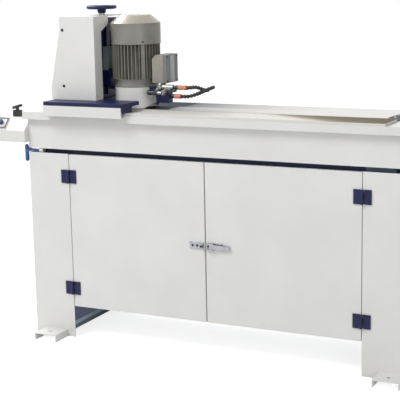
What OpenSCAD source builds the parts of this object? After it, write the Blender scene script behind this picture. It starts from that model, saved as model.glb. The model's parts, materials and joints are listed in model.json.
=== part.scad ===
// Planer knife grinder: stand with doors, long bed, travelling carriage and vertical grinding head.
// X runs along the bed, the front faces -Y, and the floor is Z = 0.

/* [Stand] */
// Clear width between the two pedestals
clear_w = 1050; // [900:10:1300]
// Width of a pedestal
pedestal_w = 160; // [130:5:220]
// Depth of a pedestal with its front panel
pedestal_d = 360; // [340:5:420]
// Height of the pedestals and of the doors' upper edge
pedestal_h = 652; // [560:2:720]
// Sheet thickness of the pedestals and front panels
pedestal_sheet = 3; // [2:0.5:4]
// Height of the doors' lower edge above the floor
door_bottom = 112; // [104:2:160]
// Depth of a folded door pan
door_d = 18; // [14:1:24]
// Sheet thickness of the doors, cabinet floor and rear panel
door_sheet = 2; // [1.5:0.5:3]
// Gap round a door
door_gap = 4; // [2:0.5:5]
// Distance of the doors' meeting line left of the middle
meeting_offset = 10; // [0:1:20]
// Width of a floor foot
foot_w = 88; // [60:2:100]
// How far a foot stands out of the pedestal
foot_reach = 80; // [60:2:100]
// Height of a foot
foot_h = 26; // [20:1:40]
// Sheet thickness of a foot
foot_sheet = 4; // [3:0.5:6]
// Diameter of the floor bolt hole in a foot
foot_hole_d = 14; // [10:1:18]

/* [Hinges and latch] */
// Height of a hinge
hinge_h = 46; // [36:2:60]
// Width of one hinge leaf
hinge_leaf_w = 29; // [24:1:36]
// Thickness of a hinge leaf
hinge_leaf_t = 4; // [3:0.5:6]
// Radius of a hinge knuckle
hinge_knuckle_r = 5; // [4.5:0.5:7]
// Radius of a hinge pin
hinge_pin_r = 3; // [2:0.25:3.5]
// Distance of a lower hinge's middle from the door's lower edge
lower_hinge_inset = 68; // [50:1:120]
// Distance of an upper hinge's middle from the door's upper edge
upper_hinge_inset = 78; // [50:1:120]
// Height of the toggle latch
latch_h = 24; // [18:1:32]
// Length of the latch lever
latch_lever_l = 84; // [60:2:110]

/* [Bed] */
// Height of the coolant tray between pedestals and bed
tray_h = 15; // [12:1:24]
// Height of the bed's web
web_h = 102; // [90:2:140]
// Height of the bed's lip
lip_h = 26; // [20:1:34]
// Overhang of the lip at the front
lip_front = 22; // [18:1:30]
// Overhang of the lip at the rear
lip_rear = 25; // [10:1:34]
// Overhang of the lip at each end
lip_end = 7; // [4:1:12]
// Wall thickness of the bed casting
bed_wall = 12; // [8:1:16]
// Width of the front way
way_w = 125; // [115:1:130]
// Thickness of the front way
way_t = 8; // [6:0.5:12]
// Width of the knife table
table_w = 97; // [80:1:100]
// Thickness of the knife table
table_t = 20; // [16:1:26]
// Length of the knife table
table_l = 1120; // [1000:10:1160]
// Radius of the table's trunnions
trunnion_r = 7; // [5:0.5:8]

/* [Carriage] */
// Length of the saddle plate
saddle_l = 312; // [300:2:360]
// Thickness of the saddle plate
saddle_t = 13; // [10:1:18]
// Height of the saddle's leg over the way
leg_h = 19; // [14:1:26]
// Height of the apron plate
apron_h = 36; // [30:1:44]
// Thickness of the apron plate
apron_t = 6; // [4:0.5:8]
// Width of the column
column_w = 100; // [90:2:120]
// Depth of the column
column_d = 190; // [170:2:210]
// Height of the column
column_h = 270; // [250:2:320]
// Wall thickness of the column
column_wall = 12; // [8:1:16]
// Sheet thickness of the column cover
cover_sheet = 2; // [1.5:0.5:3]
// Diameter of the feed handwheel
handwheel_d = 104; // [80:2:106]
// Radius of the feed screw
feed_screw_r = 8; // [6:0.5:9]

/* [Grinding head] */
// Outside diameter of the motor's fan cover
motor_d = 170; // [150:2:172]
// Diameter over the motor's cooling fins
fins_d = 164; // [146:2:166]
// Number of cooling fins
fin_count = 40; // [24:4:48]
// Thickness of a cooling fin
fin_t = 2.6; // [2:0.1:4]
// Height of the finned housing
housing_h = 116; // [100:2:140]
// Height of the fan cover
fan_cover_h = 96; // [80:2:110]
// Sheet thickness of the fan cover
fan_cover_t = 2; // [1.5:0.5:3]
// Radius of the motor shaft
shaft_r = 12.5; // [10:0.5:14]
// Diameter of the wheel guard
guard_d = 150; // [140:2:152]
// Height of the wheel guard
guard_h = 60; // [54:1:70]
// Wall thickness of the wheel guard
guard_wall = 3; // [2:0.5:4]
// Diameter of the cup wheel
wheel_d = 124; // [100:2:130]
// Rim width of the cup wheel
wheel_rim = 20; // [14:1:26]
// Height of the cup wheel
wheel_h = 42; // [36:1:46]

/* [Coolant] */
// Outside radius of a coolant hose over its ribs
hose_r = 6.5; // [5:0.25:7]
// Number of ribs on the lower hose
lower_rib_count = 11; // [8:1:24]
// Number of ribs on the upper hose
upper_rib_count = 7; // [5:1:24]
// Length of the drain valve's handle
drain_handle_l = 60; // [44:2:64]

/* [Hidden] */
$fn = 64;
// Clearances and cut overrun
run_gap = 0.05;
slide_gap = 0.3;
cut = 1;
// Stand
half_clear = clear_w / 2;
stand_end = half_clear + pedestal_w;
front_y = -pedestal_d / 2;
rear_y = pedestal_d / 2;
meeting_x = -meeting_offset;
door_z0 = door_bottom + door_gap / 2;
door_z1 = pedestal_h - door_gap / 2;
foot_hole_reach = 45;
foot_out = 8;
foot_shift = 14;
floor_rise = 4;
cabinet_floor_z = door_bottom + floor_rise;
inner_wall_z0 = 30;
// Hinges: the pin stands in front of the door plane
hinge_pin_y = front_y - hinge_leaf_t - hinge_knuckle_r / 2;
hinge_z_list = [door_bottom + lower_hinge_inset - hinge_h / 2,
    pedestal_h - upper_hinge_inset - hinge_h / 2];
knuckle_gap = 0.4;
knuckle_h = hinge_h / 3;
leaf_clear = 0.8;
leaf_web_t = 2;
leaf_start = hinge_knuckle_r + leaf_clear;
// Latch
latch_z = 374;
latch_plate_t = 3;
latch_base_w = 58;
latch_ear_h = 9;
latch_pin_r = 2.5;
latch_eye_r = 3.5;
latch_lever_t = 5;
latch_pivot_dx = 14;
latch_keeper_w = 50;
latch_edge = 6;
latch_tip_share = 0.6;
latch_ear_t = 4;
// Tray and drain valve
tray_inset_x = 62;
tray_inset_y = 15;
tray_sheet = 2;
tray_x = stand_end - tray_inset_x;
tray_y = rear_y - tray_inset_y;
drain_inset = 8;
drain_y = front_y + drain_inset;
drain_z = pedestal_h + tray_h / 2;
drain_body_r = 7;
drain_body_l = 20;
drain_stem_r = 4;
drain_stem_min = 55;
drain_handle_gap = 3;
drain_handle_r = 7;
drain_handle_up_share = 0.3;
drain_hub_r = 9;
drain_hub_l = 10;
// Coolant tank and pump in the cabinet
tank_x = [150, 470];
tank_y = [-60, 140];
tank_h = 220;
tank_wall = 3;
tank_open_l = 80;
tank_z0 = cabinet_floor_z + door_sheet;
pump_r = 55;
pump_flange_r = 70;
pump_flange_t = 8;
pump_h = 130;
pump_outlet_r = 9;
pump_outlet_l = 30;
pump_outlet_share = 0.2;
pump_at = [(tank_x[0] + tank_x[1]) / 2, (tank_y[0] + tank_y[1]) / 2];
// Bed
bed_z0 = pedestal_h + tray_h;
lip_z0 = bed_z0 + web_h;
bed_top = lip_z0 + lip_h;
way_top = bed_top + way_t;
bed_inset = 2;
lip_y0 = front_y - lip_front;
lip_y1 = rear_y + lip_rear;
way_inset = 2;
way_y0 = lip_y0 + way_inset;
way_y1 = way_y0 + way_w;
way_end_inset = 90;
front_track_w = 118;
way_groove_w = 3;
way_groove_d = 2;
bed_foot_l = 30;
bed_foot_inset = 10;
bed_foot_y = [70, 130];
table_front_gap = 23;
table_y0 = way_y1 + table_front_gap;
table_y1 = table_y0 + table_w;
table_drop = 3;
table_top = way_top - table_drop;
table_rear_gap = 10;
rear_deck_y = table_y1 + table_rear_gap;
end_deck_l = 60;
trunnion_y = table_y1 - trunnion_r;
trunnion_z = table_top - table_t / 2;
trunnion_l = 30;
table_end_gap = 10;
// The bed is as long as the stand, or longer where the table needs it
bed_end = max(stand_end - bed_inset, table_l / 2 + trunnion_l + table_end_gap + end_deck_l - lip_end);
lip_x = bed_end + lip_end;
bracket_gap = 6;
bracket_t = 18;
bracket_drop = 18;
bracket_front = 16;
bracket_rise = 6;
// Carriage belt drive inside the bed
pulley_r = 20;
pulley_w = 24;
belt_t = 3;
belt_w = 20;
drive_inset = 68;
drive_offset = 90;
drive_rise = 48;
drive_x = bed_end - drive_inset;
drive_y = way_y0 + drive_offset;
drive_z = bed_z0 + drive_rise;
idler_axle_r = 6;
drive_shaft_r = 6;
gearmotor_r = 38;
gearmotor_y = [-60, 60];
gearmotor_foot_z = 25;
gearmotor_bore_l = 30;
rim_h = 4;
rim_t = 1.5;
// Carriage
park_gap = 96;
saddle_x0 = -bed_end + park_gap;
saddle_x1 = saddle_x0 + saddle_l;
saddle_z0 = way_top + leg_h;
saddle_top = saddle_z0 + saddle_t;
leg_overhang = 18;
leg_y0 = lip_y0 - leg_overhang;
saddle_y0 = leg_y0 - apron_t;
leg_inset = 2;
leg_back = 5;
leg_y1 = way_y1 - leg_back;
plate_back = 45;
saddle_y1 = way_y1 - plate_back;
leg_front_back = 91;
leg_front_y1 = way_y1 - leg_front_back;
tail_l = 158;
tail_leg_short = 6;
saddle_tail_x1 = saddle_x0 + tail_l;
saddle_tail_y1 = 45;
apron_over = 3;
apron_short = 12;
gib_drop = 14;
gib_z0 = way_top - gib_drop;
gib_t = 10;
rear_gib_l = 84;
strap_start = 97;
strap_l = 50;
strap_gap = 3;
strap_t = 10;
strap_x = [saddle_x0 + strap_start, saddle_x0 + strap_start + strap_l];
strap_y = [way_y1 + strap_gap, way_y1 + strap_gap + strap_t];
strap_foot_h = 8;
// Column, cover and vertical feed
column_inset = 42;
column_x0 = saddle_x0 + column_inset;
column_x1 = column_x0 + column_w;
column_y0 = -150;
column_y1 = column_y0 + column_d;
column_top = saddle_top + column_h;
feed_inset = 25;
feed_x = column_x1 - feed_inset;
feed_y = -15;
slot_w = 16;
slot_end = 45;
slot_z = [saddle_top + slot_end, column_top - slot_end];
dovetail_base = 24;
dovetail_face = 30;
dovetail_h = 8;
dovetail_end = 10;
cover_gap_x = 10;
cover_over_x = 25;
cover_over_y = 6;
cover_over_z = 10;
cover_x1 = column_x1 + cover_over_x;
cover_y0 = column_y0 - cover_over_y;
cover_y1 = column_y1;
cover_top = column_top + cover_over_z;
cover_top_x0 = column_x0 - cover_gap_x;
cover_foot_over = 9;
cover_foot_x0 = saddle_x0 - cover_foot_over;
cover_kink_shares = [0.15, 0.83];
cover_side_y = -108;
cover_head_y = -60;
cover_head_h = 40;
cover_step_h = 12;
feed_collar_wall = 2;
feed_collar_r = feed_screw_r + feed_collar_wall;
cover_hole_gap = 2;
cover_hole_r = feed_collar_r + cover_hole_gap;
feed_screw_rise = 16;
handwheel_rim_r = 6;
handwheel_web_t = 5;
handwheel_hub_r = [13, 19];
handwheel_hub_h = 26;
handwheel_z = column_top + feed_screw_rise;
nut_rise = 95;
nut_z = saddle_top + nut_rise;
nut_h = 30;
nut_w = 30;
nut_neck_w = 14;
nut_back = 15;
slide_t = 20;
slide_y = [-60, 30];
slide_rise = 45;
slide_l = 130;
slide_z = [saddle_top + slide_rise, saddle_top + slide_rise + slide_l];
slide_x0 = column_x1 + slide_gap;
slide_x1 = slide_x0 + slide_t;
// Grinding head: the ring of the bracket carries the motor above and the guard below
spindle_reach = 114;
spindle_x = column_x1 + spindle_reach;
spindle_y = -30;
ring_t = 10;
guard_over_way = 3;
ring_z0 = way_top + guard_over_way + guard_h;
ring_z1 = ring_z0 + ring_t;
ring_r = guard_d / 2 - guard_wall - slide_gap;
ring_bore_r = 50;
plate_t = 8;
plate_h = 70;
neck_y = [-60, 0];
arm_y = [-95, -65];
arm_root_y = [-65, -35];
arm_l = 155;
arm_drop = 6;
arm_step = 3;
arm_lap = 10;
arm_z = [ring_z0 - arm_drop, ring_z1 - arm_drop];
arm_x0 = spindle_x + guard_d / 2 + arm_step;
arm_x1 = spindle_x + arm_l;
flange_t = 10;
shield_t = 18;
flange_r = guard_d / 2;
shield_r = 70;
flange_z1 = ring_z1 + flange_t;
housing_z0 = flange_z1 + shield_t;
housing_z1 = housing_z0 + housing_h;
housing_r = 70;
housing_wall = 8;
bearing_r = 26;
bearing_h = 15;
shaft_clear = 1;
cap_t = 14;
// Wide ribs between the fins, on the diagonals
boss_count = 4;
boss_w = 13;
boss_share = 0.5;
stator_in_r = 40.5;
core_r = 40;
core_inset = 18;
fan_cover_cone_h = 26;
fan_cover_flat_r = 53;
fan_hole_r = 4;
fan_hole_rows = [[18, 8], [32, 14], [46, 20]];
fan_r = 70;
fan_hub_r = 22;
fan_blades = 8;
fan_blade_t = 4;
fan_rise = 14;
fan_h = 36;
shaft_below = 48;
shaft_above = 2;
fan_z = [housing_z1 + fan_rise, housing_z1 + fan_rise + fan_h];
shaft_z = [ring_z0 - shaft_below, fan_z[1] + shaft_above];
box_d = 43;
box_x0 = spindle_x + fins_d / 2;
box_x1 = box_x0 + box_d;
box_y = [-72, 12];
box_below = 13;
box_above = 81;
box_z = [housing_z0 - box_below, housing_z0 + box_above];
box_wall = 4;
box_bevel = 14;
lid_t = 12;
gland_r = 9;
gland_h = 18;
gland_in = 12;
gland_y = -52;
gland_at = [box_x1 - gland_in, gland_y];
guard_z0 = ring_z0 - guard_h;
guard_top_t = 4;
guard_hole_r = 34;
guard_notch_w = 40;
guard_notch_angle = 40;
wheel_inset = 2;
wheel_z0 = guard_z0 + wheel_inset;
wheel_web = 12;
wheel_bore_r = 16;
clamp_r = 30;
clamp_t = 8;
nut_r = 20;
nut_t = 10;
sleeve_r = wheel_bore_r - run_gap;
// Coolant fittings
manifold_l = 48;
manifold_x = [arm_x1 - manifold_l, arm_x1];
manifold_h = 32;
valve_in = 14;
valve_drop = 2;
valve_x = arm_x1 - valve_in;
valve_z = ring_z0 - valve_drop;
valve_r = 9;
valve_l = 16;
lever_w = 8;
lever_hub_r = 8;
lever_stem_r = 4;
lever_grip_r = 7;
lever_stem_l = 18;
lever_grip_l = 35;
tee_r = 9;
tee_in = 39;
tee_out = 11;
tee_x = [arm_x1 - tee_in, arm_x1 + tee_out];
tee_z = arm_z[1] + tee_r;
hose_y = -80;
barb_y = -103;
barb_r = 6;
barb_l = 36;
elbow_r = 7;
elbow_in = 7;
connector_r = 8;
connector_l = [38, 49];
outlet_drop = 16;
lower_start = [arm_x1 + connector_l[0], hose_y, ring_z0 - outlet_drop];
upper_start = [tee_x[1] + connector_l[1], hose_y, tee_z];
hose_wall = 3;
rib_h = 1.4;
hose_bore_r = hose_r - hose_wall;
hose_root_r = hose_r - rib_h;
hose_sides = 8;
// Hose routes from the connectors to the open ends, each point from the connector's end
lower_steps = [[0, 0, 0], [9, 0, 0], [18, 0, 0], [27, 0, 0.6], [36, 0, 2.2], [45, 0, 4.6],
    [54, 0, 7.5], [63, -0.5, 10.8], [72, -1, 14.5], [81, -1.5, 18.3], [90, -2, 22.2], [99, -2.5, 25.8],
    [108, -3, 29.2], [118, -3.5, 32.7], [129, -4, 36]];
upper_steps = [[0, 0, 0], [6, 0, 0], [12, 0, 0.6], [18, 0, 1.8], [24, 0, 2.8], [30, 0.3, 3.2],
    [36, 1, 2.6], [41.5, 2.6, 1.2], [46.5, 5.2, -1], [50.8, 8.8, -3.6], [54.3, 13.6, -6],
    [57, 19.2, -7.8], [59, 25.4, -9], [60.5, 32, -9.8], [61.5, 39.4, -10.2]];
lower_route = [for (p = lower_steps) lower_start + p];
upper_route = [for (p = upper_steps) upper_start + p];
// Console at the left end
console_l = 191;
console_x0 = -bed_end - console_l;
console_x1 = -bed_end;
console_y0 = -205;
console_slope_y = -165;
console_y1 = 0;
console_gap = 10;
console_nose_drop = 42;
console_z0 = drain_z + drain_handle_l * drain_handle_up_share + console_gap;
console_nose_z = lip_z0 - console_nose_drop;
console_top = lip_z0;
console_wall = 3;
slope_run = console_slope_y - console_y0;
slope_rise = console_top - console_nose_z;
slope_angle = atan2(slope_rise, slope_run);
slope_mid = [(console_y0 + console_slope_y) / 2, (console_nose_z + console_top) / 2];
panel_w = 96;
panel_l = 46;
panel_t = 3;
panel_in = 14;
panel_x = console_x0 + panel_in + panel_w / 2;
button_r = 9;
button_h = 8;
button_stem_r = 5;
button_travel = 3;
button_dx = 24;
button_tail = 3;
switch_in = 56;
switch_l = 26;
switch_x = [console_x1 - switch_in - switch_l, console_x1 - switch_in];
switch_y = [-150, -130];
switch_h = 22;
switch_neck_r = 6;
switch_neck_h = 12;
switch_head_h = 9;
switch_head_l = 34;
switch_head_angle = 16;
switch_head_w = 14;
// The part's origin is under the middle of its length
mid_x = (console_x0 + lip_x) / 2;

// Places the part on its origin
module set_down() { translate([-mid_x, 0, 0]) children(); }

// Box between two corners given as spans
module span(x, y, z) {
    translate([x[0], y[0], z[0]]) cube([x[1] - x[0], y[1] - y[0], z[1] - z[0]]);
}

// Round bars along each axis
module bar_x(r, x, y, z) { translate([x[0], y, z]) rotate([0, 90, 0]) cylinder(r = r, h = x[1] - x[0]); }
module bar_y(r, x, y, z) { translate([x, y[0], z]) rotate([-90, 0, 0]) cylinder(r = r, h = y[1] - y[0]); }
module bar_z(r, x, y, z) { translate([x, y, z[0]]) cylinder(r = r, h = z[1] - z[0]); }

// A welded pedestal, open below and at the front; its inner wall ends above the floor
module pedestal(side) {
    mirror([side > 0 ? 0 : 1, 0, 0]) difference() {
        span([half_clear, stand_end], [front_y + pedestal_sheet, rear_y], [0, pedestal_h]);
        span([half_clear + pedestal_sheet, stand_end - pedestal_sheet],
            [front_y, rear_y - pedestal_sheet], [-cut, pedestal_h - pedestal_sheet]);
        span([half_clear - cut, half_clear + pedestal_w / 2], [front_y, rear_y - pedestal_sheet],
            [-cut, inner_wall_z0]);
    }
}
module left_pedestal() { color("midnightblue") pedestal(-1); }
module right_pedestal() { color("midnightblue") pedestal(1); }

module front_panels() {
    color("white") for (side = [0, 1]) mirror([side, 0, 0])
        span([half_clear, stand_end], [front_y, front_y + pedestal_sheet], [0, pedestal_h]);
}

// One floor foot, an inverted channel with a bolt hole, pointing to -Y
module foot() {
    difference() {
        span([-foot_w / 2, foot_w / 2], [-foot_reach, 0], [0, foot_h]);
        span([-foot_w / 2 + foot_sheet, foot_w / 2 - foot_sheet], [-foot_reach - cut, cut],
            [-cut, foot_h - foot_sheet]);
        bar_z(foot_hole_d / 2, 0, -foot_hole_reach, [0, foot_h + cut]);
    }
}
module floor_feet() {
    color("white") for (side = [-1, 1]) for (my = [0, 1]) mirror([0, my, 0])
        translate([side * (half_clear + pedestal_w / 2 + foot_out) + foot_shift, front_y, 0]) foot();
}

module cabinet_floor() {
    color("midnightblue") span([-half_clear, half_clear],
        [front_y + door_d + door_sheet, rear_y - door_sheet],
        [cabinet_floor_z, cabinet_floor_z + door_sheet]);
}

module rear_panel() {
    color("white") span([-half_clear, half_clear], [rear_y - door_sheet, rear_y],
        [cabinet_floor_z, pedestal_h]);
}

// A folded door pan, open at the back
module door_pan(x) {
    difference() {
        span(x, [front_y, front_y + door_d], [door_z0, door_z1]);
        span([x[0] + door_sheet, x[1] - door_sheet], [front_y + door_sheet, front_y + door_d + cut],
            [door_z0 + door_sheet, door_z1 - door_sheet]);
    }
}
module left_door() { color("white") door_pan([-half_clear + door_gap / 2, meeting_x - door_gap / 2]); }
module right_door() { color("white") door_pan([meeting_x + door_gap / 2, half_clear - door_gap / 2]); }

// Leaf of the right-hand hinge: plate to one side, and a web to each of its own knuckles
module leaf(side, heights) {
    for (z0 = hinge_z_list) translate([half_clear, 0, z0]) mirror([side > 0 ? 0 : 1, 0, 0]) difference() {
        union() {
            span([leaf_start, hinge_leaf_w], [front_y - hinge_leaf_t, front_y], [0, hinge_h]);
            for (h = heights) {
                bar_z(hinge_knuckle_r, 0, hinge_pin_y, h);
                span([0, leaf_start], [front_y - hinge_leaf_t, front_y - hinge_leaf_t + leaf_web_t], h);
            }
        }
        bar_z(hinge_pin_r + run_gap, 0, hinge_pin_y, [-cut, hinge_h + cut]);
    }
}
middle_knuckle = [[knuckle_h + knuckle_gap, knuckle_h * 2 - knuckle_gap]];
outer_knuckles = [[0, knuckle_h], [knuckle_h * 2, hinge_h]];
module hinge_frame_leaves() {
    color("midnightblue") for (m = [0, 1]) mirror([m, 0, 0]) leaf(1, middle_knuckle);
}
module left_hinge_leaves() { color("midnightblue") mirror([1, 0, 0]) leaf(-1, outer_knuckles); }
module right_hinge_leaves() { color("midnightblue") leaf(-1, outer_knuckles); }
module hinge_pins() {
    color("silver") for (m = [0, 1]) mirror([m, 0, 0]) for (z0 = hinge_z_list)
        bar_z(hinge_pin_r, half_clear, hinge_pin_y, [z0, z0 + hinge_h]);
}

// Toggle latch: base with two ears on the right door, lever on its pin, keeper on the left door
latch_x0 = meeting_x + latch_edge;
latch_pivot = [latch_x0 + latch_pivot_dx, front_y - latch_plate_t - latch_ear_h / 2];
module latch_base() {
    color("silver") difference() {
        union() {
            span([latch_x0, latch_x0 + latch_base_w], [front_y - latch_plate_t, front_y],
                [latch_z - latch_h / 2, latch_z + latch_h / 2]);
            for (s = [0, 1]) translate([0, 0, latch_z]) mirror([0, 0, s])
                span([latch_x0, latch_x0 + latch_pivot_dx * 2],
                    [front_y - latch_plate_t - latch_ear_h, front_y - latch_plate_t],
                    [latch_h / 2 - latch_ear_t, latch_h / 2]);
        }
        bar_z(latch_pin_r + run_gap, latch_pivot[0], latch_pivot[1],
            [latch_z - latch_h, latch_z + latch_h]);
    }
}
module latch_lever() {
    lever_h = latch_h - latch_ear_t * 2 - slide_gap * 2;
    tip_h = lever_h * latch_tip_share;
    front = latch_pivot[1] - latch_lever_t / 2;
    color("silver") union() {
        bar_z(latch_pin_r, latch_pivot[0], latch_pivot[1], [latch_z - latch_h / 2, latch_z + latch_h / 2]);
        bar_z(latch_eye_r, latch_pivot[0], latch_pivot[1], [latch_z - lever_h / 2, latch_z + lever_h / 2]);
        translate([0, front + latch_lever_t, latch_z]) rotate([90, 0, 0]) linear_extrude(latch_lever_t)
            polygon([[latch_pivot[0], -lever_h / 2], [latch_x0 + latch_base_w, -lever_h / 2],
                [latch_x0 + latch_lever_l, -tip_h / 2], [latch_x0 + latch_lever_l, tip_h / 2],
                [latch_x0 + latch_base_w, lever_h / 2], [latch_pivot[0], lever_h / 2]]);
    }
}
module latch_keeper() {
    x1 = meeting_x - latch_edge;
    color("silver") union() {
        span([x1 - latch_keeper_w, x1], [front_y - latch_plate_t, front_y],
            [latch_z - latch_h / 2, latch_z + latch_h / 2]);
        span([x1 - latch_ear_h, x1], [front_y - latch_plate_t - latch_ear_h, front_y - latch_plate_t],
            [latch_z - latch_h / 4, latch_z + latch_h / 4]);
    }
}

// Coolant tank, open for the return flow at its left, and the pump on its lid
module coolant_tank() {
    inside_y = [tank_y[0] + tank_wall, tank_y[1] - tank_wall];
    color("gray") difference() {
        span(tank_x, tank_y, [tank_z0, tank_z0 + tank_h]);
        span([tank_x[0] + tank_wall, tank_x[1] - tank_wall], inside_y,
            [tank_z0 + tank_wall, tank_z0 + tank_h - tank_wall]);
        span([tank_x[0] + tank_wall, tank_x[0] + tank_open_l], inside_y,
            [tank_z0 + tank_wall, tank_z0 + tank_h + cut]);
    }
}
module coolant_pump() {
    z0 = tank_z0 + tank_h;
    color("dimgray") union() {
        bar_z(pump_flange_r, pump_at[0], pump_at[1], [z0, z0 + pump_flange_t]);
        bar_z(pump_r, pump_at[0], pump_at[1], [z0, z0 + pump_h]);
        bar_x(pump_outlet_r, [pump_at[0], pump_at[0] + pump_r + pump_outlet_l], pump_at[1],
            z0 + pump_h * pump_outlet_share);
    }
}

// Coolant tray with the drain valve's body at its left end, bored for the stem
drain_x = -tray_x - drain_body_l;
drain_stem_l = max(drain_stem_min, bed_end + drain_hub_l + drain_handle_gap + drain_x);
drain_elbow_y = drain_y + drain_body_r + tray_inset_y;
module coolant_tray() {
    color("midnightblue") difference() {
        union() {
            span([-tray_x, tray_x], [-tray_y, tray_y], [pedestal_h, bed_z0]);
            bar_x(drain_body_r, [drain_x, -tray_x], drain_elbow_y, drain_z);
            bar_y(drain_body_r, drain_x + drain_body_r, [drain_y, drain_elbow_y], drain_z);
            bar_x(drain_body_r, [drain_x, drain_x + drain_body_r * 2], drain_y, drain_z);
        }
        span([-tray_x + tray_sheet, tray_x - tray_sheet], [-tray_y + tray_sheet, tray_y - tray_sheet],
            [pedestal_h + tray_sheet, bed_z0 + cut]);
        bar_x(drain_stem_r + run_gap, [drain_x - cut, drain_x + drain_body_r * 2 + cut], drain_y, drain_z);
    }
}
module drain_handle() {
    end_x = drain_x - drain_stem_l;
    handle_top = drain_z + drain_handle_l * drain_handle_up_share;
    color("royalblue") union() {
        bar_x(drain_stem_r, [end_x, drain_x + drain_body_r * 2], drain_y, drain_z);
        bar_z(drain_handle_r, end_x, drain_y, [handle_top - drain_handle_l, handle_top]);
        bar_x(drain_hub_r, [end_x, end_x + drain_hub_l], drain_y, drain_z);
    }
}

// Bed casting: four webs, lip all round, decks, feet on the pedestals and the idler's axle
module bed() {
    color("white") union() {
        for (m = [0, 1]) mirror([0, m, 0])
            span([-bed_end, bed_end], [front_y, front_y + bed_wall], [bed_z0, lip_z0]);
        for (m = [0, 1]) mirror([m, 0, 0]) {
            foot_x = stand_end - bed_inset - bed_foot_inset;
            span([bed_end - bed_wall, bed_end], [front_y, rear_y], [bed_z0, lip_z0]);
            span([lip_x - end_deck_l, lip_x], [lip_y0, lip_y1], [lip_z0, bed_top]);
            for (n = [0, 1]) mirror([0, n, 0])
                span([foot_x - bed_foot_l, foot_x], bed_foot_y,
                    [pedestal_h, bed_z0 + bed_wall]);
            span([foot_x - bed_foot_l, bed_end], [front_y, rear_y],
                [bed_z0, bed_z0 + bed_wall]);
        }
        span([-lip_x, lip_x], [lip_y0, way_y1], [lip_z0, bed_top]);
        span([-lip_x, lip_x], [rear_deck_y, lip_y1], [lip_z0, bed_top]);
        bar_y(idler_axle_r, -drive_x, [front_y, drive_y + pulley_w / 2], drive_z);
    }
}

// Front way with a groove between its narrow and its wide track
module front_way() {
    groove_y = way_y0 + front_track_w;
    color("tan") difference() {
        span([-lip_x + way_end_inset, lip_x - way_end_inset], [way_y0, way_y1], [bed_top, way_top]);
        span([-lip_x, lip_x], [groove_y, groove_y + way_groove_w], [way_top - way_groove_d, way_top + cut]);
    }
}

// Tilting knife table with a trunnion at each end
module knife_table() {
    color("lightgray") union() {
        span([-table_l / 2, table_l / 2], [table_y0, table_y1], [table_top - table_t, table_top]);
        bar_x(trunnion_r, [-table_l / 2 - trunnion_l, table_l / 2 + trunnion_l], trunnion_y, trunnion_z);
    }
}
module table_brackets() {
    x0 = table_l / 2 + bracket_gap;
    color("dimgray") for (m = [0, 1]) mirror([m, 0, 0]) difference() {
        span([x0, x0 + bracket_t], [trunnion_y - bracket_front, rear_deck_y],
            [trunnion_z - bracket_drop, bed_top + bracket_rise]);
        bar_x(trunnion_r + run_gap, [x0 - cut, x0 + bracket_t + cut], trunnion_y, trunnion_z);
    }
}

// Belt drive inside the bed: a closed belt round two pulleys
module drive_belt() {
    y = [drive_y - belt_w / 2, drive_y + belt_w / 2];
    inner = pulley_r + slide_gap;
    outer = inner + belt_t;
    color("black") difference() {
        union() {
            span([-drive_x, drive_x], y, [drive_z - outer, drive_z + outer]);
            for (x = [-drive_x, drive_x]) bar_y(outer, x, y, drive_z);
        }
        span([-drive_x, drive_x], [y[0] - cut, y[1] + cut], [drive_z - inner, drive_z + inner]);
        for (x = [-drive_x, drive_x]) bar_y(inner, x, [y[0] - cut, y[1] + cut], drive_z);
    }
}
// Pulley with a thin rim on each side of the belt
module pulley(x) {
    bar_y(pulley_r, x, [drive_y - pulley_w / 2, drive_y + pulley_w / 2], drive_z);
    for (y = [drive_y - pulley_w / 2, drive_y + pulley_w / 2 - rim_t])
        bar_y(pulley_r + rim_h, x, [y, y + rim_t], drive_z);
}
module drive_pulley() {
    color("silver") union() {
        pulley(drive_x);
        bar_y(drive_shaft_r, drive_x, [drive_y, gearmotor_y[0] + gearmotor_bore_l], drive_z);
    }
}
module idler_pulley() {
    color("silver") difference() {
        pulley(-drive_x);
        bar_y(idler_axle_r + run_gap, -drive_x, [front_y, drive_y + pulley_w], drive_z);
    }
}
module feed_gearmotor() {
    color("dimgray") difference() {
        union() {
            bar_y(gearmotor_r, drive_x, gearmotor_y, drive_z);
            span([drive_x, bed_end - bed_wall], gearmotor_y,
                [drive_z - gearmotor_foot_z, drive_z + gearmotor_foot_z]);
        }
        bar_y(drive_shaft_r + run_gap, drive_x,
            [gearmotor_y[0] - cut, gearmotor_y[0] + gearmotor_bore_l + cut], drive_z);
    }
}

// Saddle: plate, leg over the way, tail under the column and the strap down to the belt
module saddle() {
    strap_z = drive_z + pulley_r + slide_gap * 2 + belt_t;
    color("midnightblue") union() {
        span([saddle_x0, saddle_x1], [saddle_y0, saddle_y1], [saddle_z0, saddle_top]);
        span([saddle_x0, saddle_tail_x1], [saddle_y1 - cut, saddle_tail_y1], [saddle_z0, saddle_top]);
        span([saddle_x0 + leg_inset, saddle_x1 - leg_inset], [leg_y0, leg_front_y1],
            [way_top + slide_gap, saddle_z0 + cut]);
        span([saddle_x0 + leg_inset, saddle_tail_x1 - tail_leg_short], [leg_front_y1 - cut, leg_y1],
            [way_top + slide_gap, saddle_z0 + cut]);
        span(strap_x, strap_y, [strap_z, saddle_z0 + cut]);
        span(strap_x, [drive_y - belt_w / 2, strap_y[1]], [strap_z, strap_z + strap_foot_h]);
    }
}
module apron() {
    color("white") span([saddle_x0 - apron_over, saddle_x1 - apron_short], [leg_y0 - apron_t, leg_y0],
        [saddle_z0 - apron_h, saddle_z0]);
}
module saddle_gibs() {
    color("silver") union() {
        span([saddle_x0 + leg_inset, saddle_x1 - apron_short], [leg_y0, lip_y0 - slide_gap],
            [gib_z0, way_top + slide_gap]);
        span([saddle_x0 + leg_inset, saddle_x0 + leg_inset + rear_gib_l],
            [way_y1 + slide_gap, way_y1 + gib_t], [bed_top + slide_gap, saddle_z0]);
    }
}

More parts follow.
